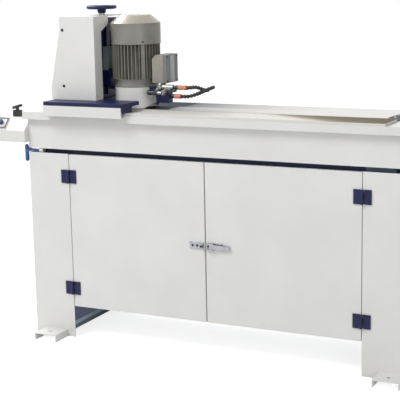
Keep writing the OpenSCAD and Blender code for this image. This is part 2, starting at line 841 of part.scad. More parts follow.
// Dovetail outline in plan, pointing to +X, grown by a clearance
module dovetail(extra, reach) {
    polygon([[-reach, -dovetail_base - extra], [0, -dovetail_base - extra],
        [dovetail_h + extra, -dovetail_face - extra], [dovetail_h + extra, dovetail_face + extra],
        [0, dovetail_base + extra], [-reach, dovetail_base + extra]]);
}
module column() {
    color("midnightblue") difference() {
        union() {
            span([column_x0, column_x1], [column_y0, column_y1], [saddle_top, column_top]);
            translate([column_x1, feed_y, saddle_top + dovetail_end])
                linear_extrude(column_h - dovetail_end * 2) dovetail(0, column_wall / 2);
        }
        span([column_x0 + column_wall, column_x1 - column_wall],
            [column_y0 + column_wall, column_y1 - column_wall], [saddle_top - cut, column_top - column_wall]);
        span([column_x1 - column_wall - cut, column_x1 + dovetail_h + cut],
            [feed_y - slot_w / 2, feed_y + slot_w / 2], slot_z);
        bar_z(feed_screw_r + run_gap, feed_x, feed_y, [column_top - column_wall - cut, column_top + cut]);
    }
}

// Cover outline seen from the front: straight top part, slanted middle, wider foot
cover_h = cover_top - saddle_top;
module cover_outline(inset) {
    polygon([[cover_foot_x0 + inset, saddle_top], [cover_x1 - inset, saddle_top],
        [cover_x1 - inset, cover_top - inset], [cover_top_x0 + inset, cover_top - inset],
        [cover_top_x0 + inset, saddle_top + cover_h * cover_kink_shares[1]],
        [cover_foot_x0 + inset, saddle_top + cover_h * cover_kink_shares[0]]]);
}
// Sheet cover over the column's front, left side and top; its right side is stepped back for the head
module column_cover() {
    color("white") difference() {
        translate([0, cover_y1, 0]) rotate([90, 0, 0]) linear_extrude(cover_y1 - cover_y0) cover_outline(0);
        translate([0, cover_y1 + cut, 0]) rotate([90, 0, 0])
            linear_extrude(cover_y1 - cover_y0 - cover_sheet + cut) cover_outline(cover_sheet);
        span([cover_foot_x0 + cover_sheet, cover_x1 - cover_sheet], [cover_y0 + cover_sheet, cover_y1 + cut],
            [saddle_top - cut, saddle_top + cover_sheet]);
        translate([cover_x1 - cover_sheet - cut, 0, 0]) rotate([90, 0, 90])
            linear_extrude(cover_sheet + cut * 2)
            polygon([[cover_side_y, saddle_top - cut], [cover_y1 + cut, saddle_top - cut],
                [cover_y1 + cut, cover_top - cover_sheet], [cover_head_y, cover_top - cover_sheet],
                [cover_head_y, cover_top - cover_head_h + cover_step_h],
                [cover_side_y, cover_top - cover_head_h - cover_step_h]]);
        bar_z(cover_hole_r, feed_x, feed_y, [cover_top - cover_sheet - cut, cover_top + cut]);
    }
}

// Vertical feed: screw, handwheel and the nut that reaches through the column's slot
module feed_screw() {
    color("silver") union() {
        bar_z(feed_screw_r, feed_x, feed_y, [saddle_top + slide_gap, handwheel_z + handwheel_hub_h]);
        bar_z(feed_collar_r, feed_x, feed_y, [column_top + slide_gap, handwheel_z]);
    }
}
module feed_handwheel() {
    rim_path_r = handwheel_d / 2 - handwheel_rim_r;
    hub_z = handwheel_z + handwheel_hub_h;
    color("midnightblue") translate([feed_x, feed_y, 0]) difference() {
        union() {
            translate([0, 0, handwheel_z])
                cylinder(r1 = handwheel_hub_r[0], r2 = handwheel_hub_r[1], h = handwheel_hub_h);
            bar_z(rim_path_r, 0, 0, [hub_z - handwheel_rim_r - handwheel_web_t / 2,
                hub_z - handwheel_rim_r + handwheel_web_t / 2]);
            translate([0, 0, hub_z - handwheel_rim_r]) rotate_extrude()
                translate([rim_path_r, 0]) circle(handwheel_rim_r);
        }
        bar_z(feed_screw_r + run_gap, 0, 0, [handwheel_z - cut, hub_z + cut]);
    }
}
module feed_nut() {
    color("goldenrod") difference() {
        union() {
            span([feed_x - nut_back, column_x1 - column_wall - slide_gap],
                [feed_y - nut_w / 2, feed_y + nut_w / 2], [nut_z, nut_z + nut_h]);
            span([feed_x, column_x1 + dovetail_h + slide_gap],
                [feed_y - nut_neck_w / 2, feed_y + nut_neck_w / 2], [nut_z, nut_z + nut_h]);
        }
        bar_z(feed_screw_r + run_gap, feed_x, feed_y, [nut_z - cut, nut_z + nut_h + cut]);
    }
}
module head_slide() {
    color("gray") difference() {
        span([slide_x0, slide_x1], slide_y, slide_z);
        translate([column_x1, feed_y, slide_z[0] - cut]) linear_extrude(slide_z[1] - slide_z[0] + cut * 2)
            dovetail(slide_gap, cut);
    }
}

// Head bracket: plate on the slide, ring under the motor and the arm for the manifold
module head_bracket() {
    color("midnightblue") difference() {
        union() {
            span([slide_x1, slide_x1 + plate_t], slide_y, [ring_z0, ring_z0 + plate_h]);
            span([slide_x1, spindle_x], neck_y, [ring_z0, ring_z1]);
            bar_z(ring_r, spindle_x, spindle_y, [ring_z0, ring_z1]);
            span([spindle_x, arm_x0 + arm_lap], arm_root_y, [ring_z0, ring_z1]);
            span([arm_x0, arm_x1], [arm_y[0], arm_root_y[1]], arm_z);
        }
        bar_z(ring_bore_r, spindle_x, spindle_y, [ring_z0 - cut, ring_z1 + cut]);
    }
}

// Motor, upright, flange down
module motor_flange() {
    color("gray") difference() {
        union() {
            bar_z(flange_r, spindle_x, spindle_y, [ring_z1, flange_z1]);
            bar_z(shield_r, spindle_x, spindle_y, [flange_z1, housing_z0]);
        }
        bar_z(bearing_r, spindle_x, spindle_y, [housing_z0 - bearing_h, housing_z0 + cut]);
        bar_z(shaft_r + shaft_clear, spindle_x, spindle_y, [ring_z1 - cut, housing_z0]);
    }
}
module motor_housing() {
    fin_r = fins_d / 2;
    color("gray") translate([spindle_x, spindle_y, 0]) difference() {
        union() {
            bar_z(housing_r, 0, 0, [housing_z0, housing_z1]);
            for (i = [0 : fin_count - 1]) rotate([0, 0, i * 360 / fin_count])
                span([housing_r - housing_wall / 2, fin_r], [-fin_t / 2, fin_t / 2],
                    [housing_z0, housing_z1]);
            for (i = [0 : boss_count - 1]) rotate([0, 0, (i + boss_share) * 360 / boss_count])
                span([housing_r - housing_wall / 2, fin_r], [-boss_w / 2, boss_w / 2],
                    [housing_z0, housing_z1]);
        }
        bar_z(housing_r - housing_wall, 0, 0, [housing_z0 - cut, housing_z1 - cap_t]);
        bar_z(bearing_r, 0, 0, [housing_z1 - cap_t - cut, housing_z1 - cap_t + bearing_h - housing_wall / 2]);
        bar_z(shaft_r + shaft_clear, 0, 0, [housing_z1 - cap_t, housing_z1 + cut]);
    }
}
module fan_cover() {
    r = motor_d / 2;
    cone_z = fan_cover_h - fan_cover_cone_h;
    color("gray") translate([spindle_x, spindle_y, housing_z1]) difference() {
        rotate_extrude()
            polygon([[0, 0], [r, 0], [r, cone_z], [fan_cover_flat_r, fan_cover_h], [0, fan_cover_h]]);
        rotate_extrude() polygon([[0, -cut], [r - fan_cover_t, -cut], [r - fan_cover_t, cone_z],
            [fan_cover_flat_r - fan_cover_t, fan_cover_h - fan_cover_t], [0, fan_cover_h - fan_cover_t]]);
        for (row = fan_hole_rows) for (i = [0 : row[1] - 1]) rotate([0, 0, i * 360 / row[1]])
            bar_z(fan_hole_r, row[0], 0, [fan_cover_h - fan_cover_t - cut, fan_cover_h + cut]);
    }
}
module stator() {
    color("darkred") translate([spindle_x, spindle_y, 0]) difference() {
        bar_z(housing_r - housing_wall, 0, 0, [housing_z0 + core_inset, housing_z1 - core_inset * 2]);
        bar_z(stator_in_r, 0, 0, [housing_z0, housing_z1]);
    }
}
module rotor() {
    color("silver") translate([spindle_x, spindle_y, 0]) union() {
        bar_z(shaft_r, 0, 0, shaft_z);
        bar_z(core_r, 0, 0, [housing_z0 + core_inset, housing_z1 - core_inset * 2]);
    }
}
module motor_bearings() {
    color("silver") translate([spindle_x, spindle_y, 0])
        for (z0 = [housing_z0 - bearing_h, housing_z1 - cap_t - housing_wall / 2]) difference() {
            bar_z(bearing_r, 0, 0, [z0, z0 + bearing_h]);
            bar_z(shaft_r + run_gap, 0, 0, [z0 - cut, z0 + bearing_h + cut]);
        }
}
module cooling_fan() {
    color("black") translate([spindle_x, spindle_y, 0]) difference() {
        union() {
            bar_z(fan_hub_r, 0, 0, fan_z);
            for (i = [0 : fan_blades - 1]) rotate([0, 0, i * 360 / fan_blades])
                span([0, fan_r], [-fan_blade_t / 2, fan_blade_t / 2], fan_z);
        }
        bar_z(shaft_r + run_gap, 0, 0, [fan_z[0] - cut, fan_z[1] + cut]);
    }
}
// Terminal box seen from the front, bevelled at the top beside the motor; its inside is open to the lid
module box_outline(inset) {
    right = inset > 0 ? box_x1 + cut : box_x1;
    polygon([[box_x0 + inset, box_z[0] + inset], [right, box_z[0] + inset], [right, box_z[1] - inset],
        [box_x0 + box_bevel + inset / 2, box_z[1] - inset],
        [box_x0 + inset, box_z[1] - box_bevel - inset / 2]]);
}
module terminal_box() {
    color("tan") union() {
        difference() {
            translate([0, box_y[1], 0]) rotate([90, 0, 0]) linear_extrude(box_y[1] - box_y[0]) box_outline(0);
            translate([0, box_y[1] - box_wall, 0]) rotate([90, 0, 0])
                linear_extrude(box_y[1] - box_y[0] - box_wall * 2) box_outline(box_wall);
        }
        bar_z(gland_r, gland_at[0], gland_at[1], [box_z[0] - gland_h, box_z[0] + box_wall / 2]);
    }
}
module terminal_lid() { color("gray") span([box_x1, box_x1 + lid_t], box_y, box_z); }

// Wheel guard: drum that comes up round the ring, notched for the bracket and at its right
module wheel_guard() {
    color("white") translate([spindle_x, spindle_y, 0]) difference() {
        bar_z(guard_d / 2, 0, 0, [guard_z0, ring_z1]);
        bar_z(guard_d / 2 - guard_wall, 0, 0, [ring_z0, ring_z1 + cut]);
        span([-guard_d, 0], [neck_y[0] - spindle_y - slide_gap, neck_y[1] - spindle_y + slide_gap],
            [ring_z0 - slide_gap, ring_z1 + cut]);
        span([0, guard_d], [arm_root_y[0] - spindle_y - slide_gap, arm_root_y[1] - spindle_y + slide_gap],
            [ring_z0 - slide_gap, ring_z1 + cut]);
        bar_z(guard_d / 2 - guard_wall, 0, 0, [guard_z0 - cut, ring_z0 - guard_top_t]);
        bar_z(guard_hole_r, 0, 0, [guard_z0, ring_z0 + cut]);
        translate([guard_d / 2 - guard_notch_w / 2, 0, guard_z0]) rotate([0, -guard_notch_angle, 0])
            span([0, guard_d], [-guard_d, guard_d], [-guard_d, 0]);
    }
}
module grinding_wheel() {
    color("lightgray") translate([spindle_x, spindle_y, 0]) difference() {
        bar_z(wheel_d / 2, 0, 0, [wheel_z0, wheel_z0 + wheel_h]);
        bar_z(wheel_d / 2 - wheel_rim, 0, 0, [wheel_z0 - cut, wheel_z0 + wheel_h - wheel_web]);
        bar_z(wheel_bore_r, 0, 0, [wheel_z0, wheel_z0 + wheel_h + cut]);
    }
}
// Clamp flange with its sleeve above the wheel's web, and the nut below it
module wheel_flange() {
    top = wheel_z0 + wheel_h;
    color("silver") translate([spindle_x, spindle_y, 0]) difference() {
        union() {
            bar_z(clamp_r, 0, 0, [top, top + clamp_t]);
            bar_z(sleeve_r, 0, 0, [top - wheel_web - nut_t, top]);
            translate([0, 0, top - wheel_web - nut_t]) cylinder(r = nut_r, h = nut_t, $fn = 6);
        }
        bar_z(shaft_r + run_gap, 0, 0, [top - wheel_h, top + clamp_t + cut]);
    }
}

// Coolant supply on the arm: manifold below it, tee and inlet above it, valve in front
module coolant_manifold() {
    color("midnightblue") span(manifold_x, arm_y, [arm_z[0] - manifold_h, arm_z[0]]);
}
module coolant_fittings() {
    elbow_x = tee_x[0] + elbow_in;
    color("silver") union() {
        bar_x(tee_r, tee_x, hose_y, tee_z);
        span([tee_x[0] + tee_r, tee_x[1] - tee_r], [hose_y - tee_r, hose_y + tee_r], [arm_z[1], tee_z]);
        bar_y(elbow_r, elbow_x, [barb_y, hose_y], tee_z);
        translate([elbow_x, barb_y, tee_z]) rotate([0, -135, 0]) cylinder(r = barb_r, h = barb_l);
        bar_y(valve_r, valve_x, [arm_y[0] - valve_l, arm_y[0]], valve_z);
    }
}
module valve_lever() {
    y1 = arm_y[0] - valve_l - slide_gap;
    mid_y = y1 - lever_w / 2;
    color("black") union() {
        bar_y(lever_hub_r, valve_x, [y1 - lever_w, y1], valve_z);
        bar_x(lever_stem_r, [valve_x - lever_stem_l, valve_x], mid_y, valve_z);
        bar_x(lever_grip_r, [valve_x - lever_stem_l - lever_grip_l, valve_x - lever_stem_l],
            mid_y - lever_w / 2, valve_z);
    }
}
module hose_connectors() {
    color("orangered") {
        bar_x(connector_r, [tee_x[1], upper_start[0]], hose_y, tee_z);
        bar_x(connector_r, [arm_x1, lower_start[0]], hose_y, lower_start[2]);
    }
}

// Point at a share of a route, on a smooth curve through its points
function curve_at(p, s) =
    let (n = len(p) - 1, i = min(floor(s * n), n - 1), t = s * n - i,
        a = p[max(i - 1, 0)], b = p[i], c = p[i + 1], d = p[min(i + 2, n)])
    b + (c - a) * t / 2 + (a * 2 - b * 5 + c * 4 - d) * t * t / 2 + (b * 3 - a - c * 3 + d) * t * t * t / 2;
function unit(v) = v / norm(v);
// Ring of points round the curve
function ring_at(p, s, r) =
    let (e = 0.001, m = curve_at(p, s), f = unit(curve_at(p, min(s + e, 1)) - curve_at(p, max(s - e, 0))),
        u = unit(cross(f, [0, 1, 0])), v = cross(f, u))
    [for (k = [0 : hose_sides - 1])
        m + (u * cos(k * 360 / hose_sides) + v * sin(k * 360 / hose_sides)) * r];
// Ribbed hose with its bore: two rings a rib, crest and root in turn
module ribbed_hose(p, ribs) {
    rings = ribs * 2 + 1;
    outer = [for (j = [0 : rings - 1]) ring_at(p, j / (rings - 1), j % 2 == 0 ? hose_root_r : hose_r)];
    inner = [for (j = [0 : rings - 1]) ring_at(p, j / (rings - 1), hose_bore_r)];
    n = hose_sides;
    base = rings * n;
    points = concat([for (r = outer) each r], [for (r = inner) each r]);
    function at(j, k) = j * n + k % n;
    walls = [for (j = [0 : rings - 2]) for (k = [0 : n - 1]) each [
        [at(j, k), at(j, k + 1), at(j + 1, k)], [at(j, k + 1), at(j + 1, k + 1), at(j + 1, k)],
        [base + at(j, k), base + at(j + 1, k), base + at(j, k + 1)],
        [base + at(j, k + 1), base + at(j + 1, k), base + at(j + 1, k + 1)]]];
    last = rings - 1;
    ends = [for (k = [0 : n - 1]) each [
        [at(0, k), base + at(0, k), at(0, k + 1)], [at(0, k + 1), base + at(0, k), base + at(0, k + 1)],
        [at(last, k), at(last, k + 1), base + at(last, k)],
        [at(last, k + 1), base + at(last, k + 1), base + at(last, k)]]];
    polyhedron(points, concat(walls, ends));
}
module lower_hose() { color("black") ribbed_hose(lower_route, lower_rib_count); }
module upper_hose() { color("black") ribbed_hose(upper_route, upper_rib_count); }

// Console with a sloped front at the left end of the bed
module console_outline(inset) {
    polygon([[console_y0 + inset, console_z0 + inset], [console_y0 + inset, console_nose_z - inset / 2],
        [console_slope_y + inset / 2, console_top - inset], [console_y1 - inset, console_top - inset],
        [console_y1 - inset, console_z0 + inset]]);
}
// Places children on the sloped front, Z standing out of it
module on_slope(dx) {
    translate([panel_x + dx, slope_mid[0], slope_mid[1]]) rotate([slope_angle, 0, 0]) children();
}
module button_holes() {
    for (dx = [-button_dx, button_dx]) on_slope(dx)
        bar_z(button_stem_r + slide_gap, 0, 0, [-console_wall * 2, panel_t + cut]);
}
module control_box() {
    color("white") difference() {
        translate([console_x0, 0, 0]) rotate([90, 0, 90]) linear_extrude(console_x1 - console_x0)
            console_outline(0);
        translate([console_x0 + console_wall, 0, 0]) rotate([90, 0, 90])
            linear_extrude(console_x1 - console_x0 - console_wall * 2) console_outline(console_wall);
        button_holes();
    }
}
module control_panel() {
    color("black") difference() {
        on_slope(0) span([-panel_w / 2, panel_w / 2], [-panel_l / 2, panel_l / 2], [0, panel_t]);
        button_holes();
    }
}
// Push button: cap over the panel and stem through it
module push_button(dx) {
    cap_z = panel_t + button_travel + slide_gap;
    on_slope(dx) union() {
        bar_z(button_r, 0, 0, [cap_z, cap_z + button_h]);
        bar_z(button_stem_r, 0, 0, [-console_wall - button_tail, cap_z + cut]);
    }
}
module start_button() { color("navy") push_button(button_dx); }
module stop_button() { color("red") push_button(-button_dx); }
module limit_switch() {
    neck_x = (switch_x[0] + switch_x[1]) / 2;
    neck_y = (switch_y[0] + switch_y[1]) / 2;
    neck_z = console_top + switch_h + switch_neck_h;
    color("black") union() {
        span(switch_x, switch_y, [console_top, console_top + switch_h]);
        bar_z(switch_neck_r, neck_x, neck_y, [console_top, neck_z]);
        translate([neck_x, neck_y, neck_z]) rotate([0, -switch_head_angle, 0])
            span([-switch_head_l / 2, switch_head_l / 2], [-switch_head_w / 2, switch_head_w / 2],
                [-switch_head_h / 2, switch_head_h / 2]);
    }
}

set_down() left_pedestal();
set_down() right_pedestal();
set_down() front_panels();
set_down() floor_feet();
set_down() cabinet_floor();
set_down() rear_panel();
set_down() left_door();
set_down() right_door();
set_down() hinge_frame_leaves();
set_down() left_hinge_leaves();
set_down() right_hinge_leaves();
set_down() hinge_pins();
set_down() latch_base();
set_down() latch_lever();
set_down() latch_keeper();
set_down() coolant_tank();
set_down() coolant_pump();
set_down() coolant_tray();
set_down() drain_handle();
set_down() bed();
set_down() front_way();
set_down() knife_table();
set_down() table_brackets();
set_down() drive_belt();
set_down() drive_pulley();
set_down() idler_pulley();
set_down() feed_gearmotor();
set_down() saddle();
set_down() apron();
set_down() saddle_gibs();
set_down() column();
set_down() column_cover();
set_down() feed_screw();
set_down() feed_handwheel();
set_down() feed_nut();
set_down() head_slide();
set_down() head_bracket();
set_down() motor_flange();
set_down() motor_housing();
set_down() fan_cover();
set_down() stator();
set_down() rotor();
set_down() motor_bearings();
set_down() cooling_fan();
set_down() terminal_box();
set_down() terminal_lid();
set_down() wheel_guard();
set_down() grinding_wheel();
set_down() wheel_flange();
set_down() coolant_manifold();
set_down() coolant_fittings();
set_down() valve_lever();
set_down() hose_connectors();
set_down() lower_hose();
set_down() upper_hose();
set_down() control_box();
set_down() control_panel();
set_down() start_button();
set_down() stop_button();
set_down() limit_switch();
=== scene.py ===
# Planer knife grinder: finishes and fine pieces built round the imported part
import json
import math

import bmesh
import bpy
from mathutils import Matrix, Vector

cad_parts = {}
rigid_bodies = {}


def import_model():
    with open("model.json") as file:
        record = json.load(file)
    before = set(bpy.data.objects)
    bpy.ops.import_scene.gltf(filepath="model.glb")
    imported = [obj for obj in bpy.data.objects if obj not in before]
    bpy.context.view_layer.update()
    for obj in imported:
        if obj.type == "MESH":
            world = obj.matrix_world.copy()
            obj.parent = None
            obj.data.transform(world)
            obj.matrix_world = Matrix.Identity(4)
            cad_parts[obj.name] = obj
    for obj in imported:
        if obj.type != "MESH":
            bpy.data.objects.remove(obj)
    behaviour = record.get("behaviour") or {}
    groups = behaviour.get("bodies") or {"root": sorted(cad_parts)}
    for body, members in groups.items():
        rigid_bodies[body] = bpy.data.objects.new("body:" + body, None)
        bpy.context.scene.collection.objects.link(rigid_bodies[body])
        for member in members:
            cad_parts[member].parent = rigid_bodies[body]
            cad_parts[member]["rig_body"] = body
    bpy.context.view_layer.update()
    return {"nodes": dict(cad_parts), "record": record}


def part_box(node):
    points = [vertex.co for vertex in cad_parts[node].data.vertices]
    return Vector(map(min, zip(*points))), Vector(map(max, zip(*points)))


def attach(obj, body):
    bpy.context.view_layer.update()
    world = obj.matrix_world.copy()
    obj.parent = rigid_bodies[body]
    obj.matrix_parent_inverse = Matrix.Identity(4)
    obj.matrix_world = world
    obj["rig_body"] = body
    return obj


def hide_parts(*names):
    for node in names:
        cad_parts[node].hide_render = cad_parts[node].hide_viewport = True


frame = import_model()
MM = 0.001
NODES = frame["nodes"]

# Directions that fine pieces point in
FRONT = (0, -1, 0)
LEFT = (-1, 0, 0)
RIGHT = (1, 0, 0)
UP = (0, 0, 1)

# Camera: place, bearing, height angle and roll of the photograph's view, with its lens in millimetres
CAMERA_AT = (1.721, -3.541, 1.2655)
CAMERA_AZIMUTH = 26.22
CAMERA_ELEVATION = 11.16
CAMERA_ROLL = 1.14
CAMERA_LENS = 105.7
CAMERA_SENSOR = 36.0
CAMERA_NEAR = 0.05
CAMERA_FAR = 100


def make_camera():
    """Camera whose axes are worked out from its bearing, height angle and roll."""
    azimuth = math.radians(CAMERA_AZIMUTH)
    elevation = math.radians(CAMERA_ELEVATION)
    roll = math.radians(CAMERA_ROLL)
    forward = Vector((
        -math.sin(azimuth) * math.cos(elevation),
        math.cos(azimuth) * math.cos(elevation),
        -math.sin(elevation),
    ))
    right = Vector((math.cos(azimuth), math.sin(azimuth), 0))
    down = forward.cross(right)
    rolled_right = right * math.cos(roll) + down * math.sin(roll)
    rolled_down = down * math.cos(roll) - right * math.sin(roll)
    turn = Matrix((rolled_right, -rolled_down, -forward)).transposed()
    data = bpy.data.cameras.new("camera")
    data.lens = CAMERA_LENS
    data.sensor_width = CAMERA_SENSOR
    data.clip_start = CAMERA_NEAR
    data.clip_end = CAMERA_FAR
    camera = bpy.data.objects.new("camera", data)
    camera.matrix_world = Matrix.Translation(CAMERA_AT) @ turn.to_4x4()
    bpy.context.scene.collection.objects.link(camera)
    bpy.context.scene.camera = camera


make_camera()

# Materials: where each finish's two tones lie, and how far its roughness and relief follow its grain
TONE_STOPS = (0.35, 0.65)
PATCH_DETAIL = 3.0
GRAIN_DETAIL = 4.0
ROUGHNESS_SPREAD = (0.85, 1.15)
RELIEF_STRENGTH = 0.6


def linear(code):
    """Linear colour from an sRGB hex value."""
    parts = [int(code[i:i + 2], 16) / 255 for i in (1, 3, 5)]
    return tuple(c / 12.92 if c <= 0.04045 else ((c + 0.055) / 1.055) ** 2.4 for c in parts) + (1.0,)


def add(tree, kind, inputs=None, **settings):
    """One node with its settings, its values and its links."""
    made = tree.nodes.new(kind)
    for name, value in settings.items():
        setattr(made, name, value)
    for name, value in (inputs or {}).items():
        if isinstance(value, bpy.types.NodeSocket):
            tree.links.new(value, made.inputs[name])
        else:
            made.inputs[name].default_value = value
    return made


def per_mm(size):
    """Texture scale for features of this many millimetres."""
    return 1 / (size * MM)


def surface(name, light, dark, patch, grain, bump, roughness,
            metallic=0.0, stretch=(1, 1, 1), coat=0.0, gloss=0.5):
    """Principled material: two close tones in patches, fine grain in roughness and relief.

    Patch, grain and bump are sizes in millimetres.
    """
    made = bpy.data.materials.new(name)
    made.use_nodes = True
    tree = made.node_tree
    shader = tree.nodes["Principled BSDF"]
    shader.inputs["Metallic"].default_value = metallic
    shader.inputs["Coat Weight"].default_value = coat
    shader.inputs["Specular IOR Level"].default_value = gloss
    place = add(tree, "ShaderNodeTexCoord").outputs["Object"]
    scaled = add(tree, "ShaderNodeMapping", {"Vector": place, "Scale": stretch}).outputs["Vector"]
    patches = add(tree, "ShaderNodeTexNoise", {
        "Vector": scaled, "Scale": per_mm(patch), "Detail": PATCH_DETAIL}).outputs["Fac"]
    fine = add(tree, "ShaderNodeTexNoise", {
        "Vector": scaled, "Scale": per_mm(grain), "Detail": GRAIN_DETAIL}).outputs["Fac"]
    ramp = add(tree, "ShaderNodeValToRGB", {"Fac": patches})
    for mark, stop, tone in zip(ramp.color_ramp.elements, TONE_STOPS, (dark, light)):
        mark.position = stop
        mark.color = linear(tone)
    least, most = ROUGHNESS_SPREAD
    spread = add(tree, "ShaderNodeMapRange", {
        "Value": fine, "To Min": roughness * least, "To Max": min(roughness * most, 1.0)})
    relief = add(tree, "ShaderNodeBump", {
        "Height": fine, "Strength": RELIEF_STRENGTH, "Distance": bump * MM})
    tree.links.new(ramp.outputs["Color"], shader.inputs["Base Color"])
    tree.links.new(spread.outputs["Result"], shader.inputs["Roughness"])
    tree.links.new(relief.outputs["Normal"], shader.inputs["Normal"])
    return made


# Stretch that draws grinding lines out along the bed
ALONG_BED = (0.02, 1, 1)

# Stove enamel on sheet steel: warm white with a faint orange peel
WHITE_ENAMEL = surface("white_enamel", "#DFDEDB", "#DAD9D6",
                       patch=180, grain=1.6, bump=0.02, roughness=0.32)
# The same white on the bed, which takes the painted shadow and reflection of the head beside it
BED_ENAMEL = surface("bed_enamel", "#DFDEDB", "#DAD9D6",
                     patch=180, grain=1.6, bump=0.02, roughness=0.32)
# Hammered navy enamel: dark, with little shine and darker hollows
NAVY_ENAMEL = surface("navy_enamel", "#1C214A", "#171B3D",
                      patch=60, grain=2.4, bump=0.05, roughness=0.42, gloss=0.27)
# The same enamel on the pedestals, painted lighter for the light that reaches them under the doors, and with
# more shine
PEDESTAL_NAVY = surface("pedestal_navy", "#2E3568", "#282F5C",
                        patch=60, grain=2.4, bump=0.05, roughness=0.42)
# The same enamel on the tray in its recess, painted darker as the shade there, and duller
TRAY_NAVY = surface("tray_navy", "#171B3C", "#13172F",
                    patch=60, grain=2.4, bump=0.05, roughness=0.5, gloss=0.2)
# Bright blue enamel on the drain handle, smooth and shiny
BLUE_ENAMEL = surface("blue_enamel", "#38609F", "#305490",
                      patch=25, grain=1.5, bump=0.04, roughness=0.35)
# Sprayed grey on the cast motor, with the grain of the casting under it
MOTOR_GREY = surface("motor_grey", "#7F7D73", "#716F65",
                     patch=40, grain=1.8, bump=0.08, roughness=0.5)
# The same grey, paler and wiped clean, on the turned flange
FLANGE_GREY = surface("flange_grey", "#878682", "#797874",
                      patch=40, grain=1.8, bump=0.05, roughness=0.42)
# Grey paint on pressed sheet, smooth with a slight metal sheen
FAN_COVER_GREY = surface("fan_cover_grey", "#85847E", "#7B7A74",
                         patch=60, grain=1.4, bump=0.02, roughness=0.38, metallic=0.1)
# The cover's cone, painted paler on its upward faces as the light from above, and glossy, so that it turns
# white towards the light
FAN_CONE_GREY = surface("fan_cone_grey", "#B0A798", "#A59C8D",
                        patch=60, grain=1.4, bump=0.02, roughness=0.3, metallic=0.2, coat=0.6)
# Machine grey on housings inside the stand: half matt
SHOP_GREY = surface("shop_grey", "#85888A", "#777A7C",
                    patch=70, grain=1.8, bump=0.05, roughness=0.48)
# The same grey on the head slide, navy below its pad
SLIDE_GREY = surface("slide_grey", "#85888A", "#777A7C",
                     patch=70, grain=1.8, bump=0.05, roughness=0.48)
# Ground steel, its grinding lines drawn along the bed and coarse enough to show
GROUND_STEEL = surface("ground_steel", "#E4E3E1", "#D2D0CE",
                       patch=60, grain=1.2, bump=0.006, roughness=0.13, metallic=1.0, stretch=ALONG_BED)
# The same ground steel on the front way
GROUND_WAY = surface("ground_way", "#E4E3E1", "#D6D4D2",
                     patch=60, grain=1.2, bump=0.006, roughness=0.13, metallic=1.0, stretch=ALONG_BED)
# Turned bare steel: grey with a soft shine
BARE_STEEL = surface("bare_steel", "#A9A9A8", "#939392",
                     patch=25, grain=0.9, bump=0.01, roughness=0.32, metallic=1.0)
# Chromium plate on the latch and the valve's stem, a mirror that handling has greyed
CHROME_PLATE = surface("chrome_plate", "#96979B", "#8A8B8F",
                       patch=15, grain=0.8, bump=0.004, roughness=0.12, metallic=1.0)
# Cast bronze: brown-yellow, with the grain of the mould
CAST_BRONZE = surface("cast_bronze", "#A67C45", "#94693A",
                      patch=15, grain=1.0, bump=0.03, roughness=0.4, metallic=1.0)
# Varnished laminations and winding: red-brown and half matt
VARNISHED_CORE = surface("varnished_core", "#7A4A30", "#633B28",
                         patch=10, grain=0.8, bump=0.05, roughness=0.5)
# Vitrified abrasive: pale, matt and gritty
WHITE_ABRASIVE = surface("white_abrasive", "#D9D4CA", "#B9B4AA",
                         patch=1.5, grain=0.8, bump=0.25, roughness=0.9)
# Moulded black acetal of the hoses and grips: near black with a soft shine
BLACK_ACETAL = surface("black_acetal", "#1B1C1E", "#131416",
                       patch=12, grain=0.9, bump=0.02, roughness=0.36)
# Moulded grey-beige plastic: even and half matt
BEIGE_PLASTIC = surface("beige_plastic", "#97938A", "#8C887F",
                        patch=30, grain=1.0, bump=0.02, roughness=0.45)
# Moulded orange plastic: pale and even
ORANGE_PLASTIC = surface("orange_plastic", "#D9876A", "#CB785A",
                         patch=12, grain=0.9, bump=0.02, roughness=0.38)
# Moulded dark blue plastic of a push button: smooth and shiny
BLUE_BUTTON = surface("blue_button", "#26386B", "#20305E",
                      patch=8, grain=0.8, bump=0.01, roughness=0.3)
# Moulded red plastic of a push button: smooth and shiny
RED_BUTTON = surface("red_button", "#B3261E", "#A11F19",
                     patch=8, grain=0.8, bump=0.01, roughness=0.3)
# Woven rubber belt: black, matt and rough
BELT_RUBBER = surface("belt_rubber", "#2A2A2B", "#1D1D1E",
                      patch=6, grain=1.0, bump=0.15, roughness=0.75)
# Painted grey of the terminal lid: half matt
LID_GREY = surface("lid_grey", "#767979", "#6B6E6E",
                   patch=70, grain=1.8, bump=0.05, roughness=0.48)
# The lid's raised band, in a paler grey that is a painted highlight down the lid
LID_BAND = surface("lid_band_grey", "#B4B5B3", "#A9AAA8",
                   patch=20, grain=1.2, bump=0.03, roughness=0.45)
# Printed border of the console's panel: dark olive and flat
OLIVE_BORDER = surface("olive_border", "#4C4838", "#413E30",
                       patch=12, grain=0.9, bump=0.01, roughness=0.4)
# Blackened steel of screws and rivets: dark with a dull metal shine
BLACK_OXIDE = surface("black_oxide", "#3A3833", "#2C2A27",
                      patch=4, grain=0.6, bump=0.01, roughness=0.4, metallic=1.0)

# Films on the surfaces: colour sockets of a Mix node, by number because their names repeat
MIX_UNDER = 6
MIX_OVER = 7
MIX_RESULT = 2


def position(tree):
    """X, Y and Z of the shaded point, in metres."""
    place = add(tree, "ShaderNodeTexCoord").outputs["Object"]
    return add(tree, "ShaderNodeSeparateXYZ", {"Vector": place}).outputs


def masked(tree, share, *tests):
    """A share where every test holds, and nought elsewhere.

    A test is a place along an axis, a comparison and a limit in millimetres.
    """
    for value, comparison, limit in tests:
        passed = add(tree, "ShaderNodeMath", {0: value, 1: limit * MM}, operation=comparison).outputs[0]
        share = add(tree, "ShaderNodeMath", {0: share, 1: passed}, operation="MULTIPLY").outputs[0]
    return share


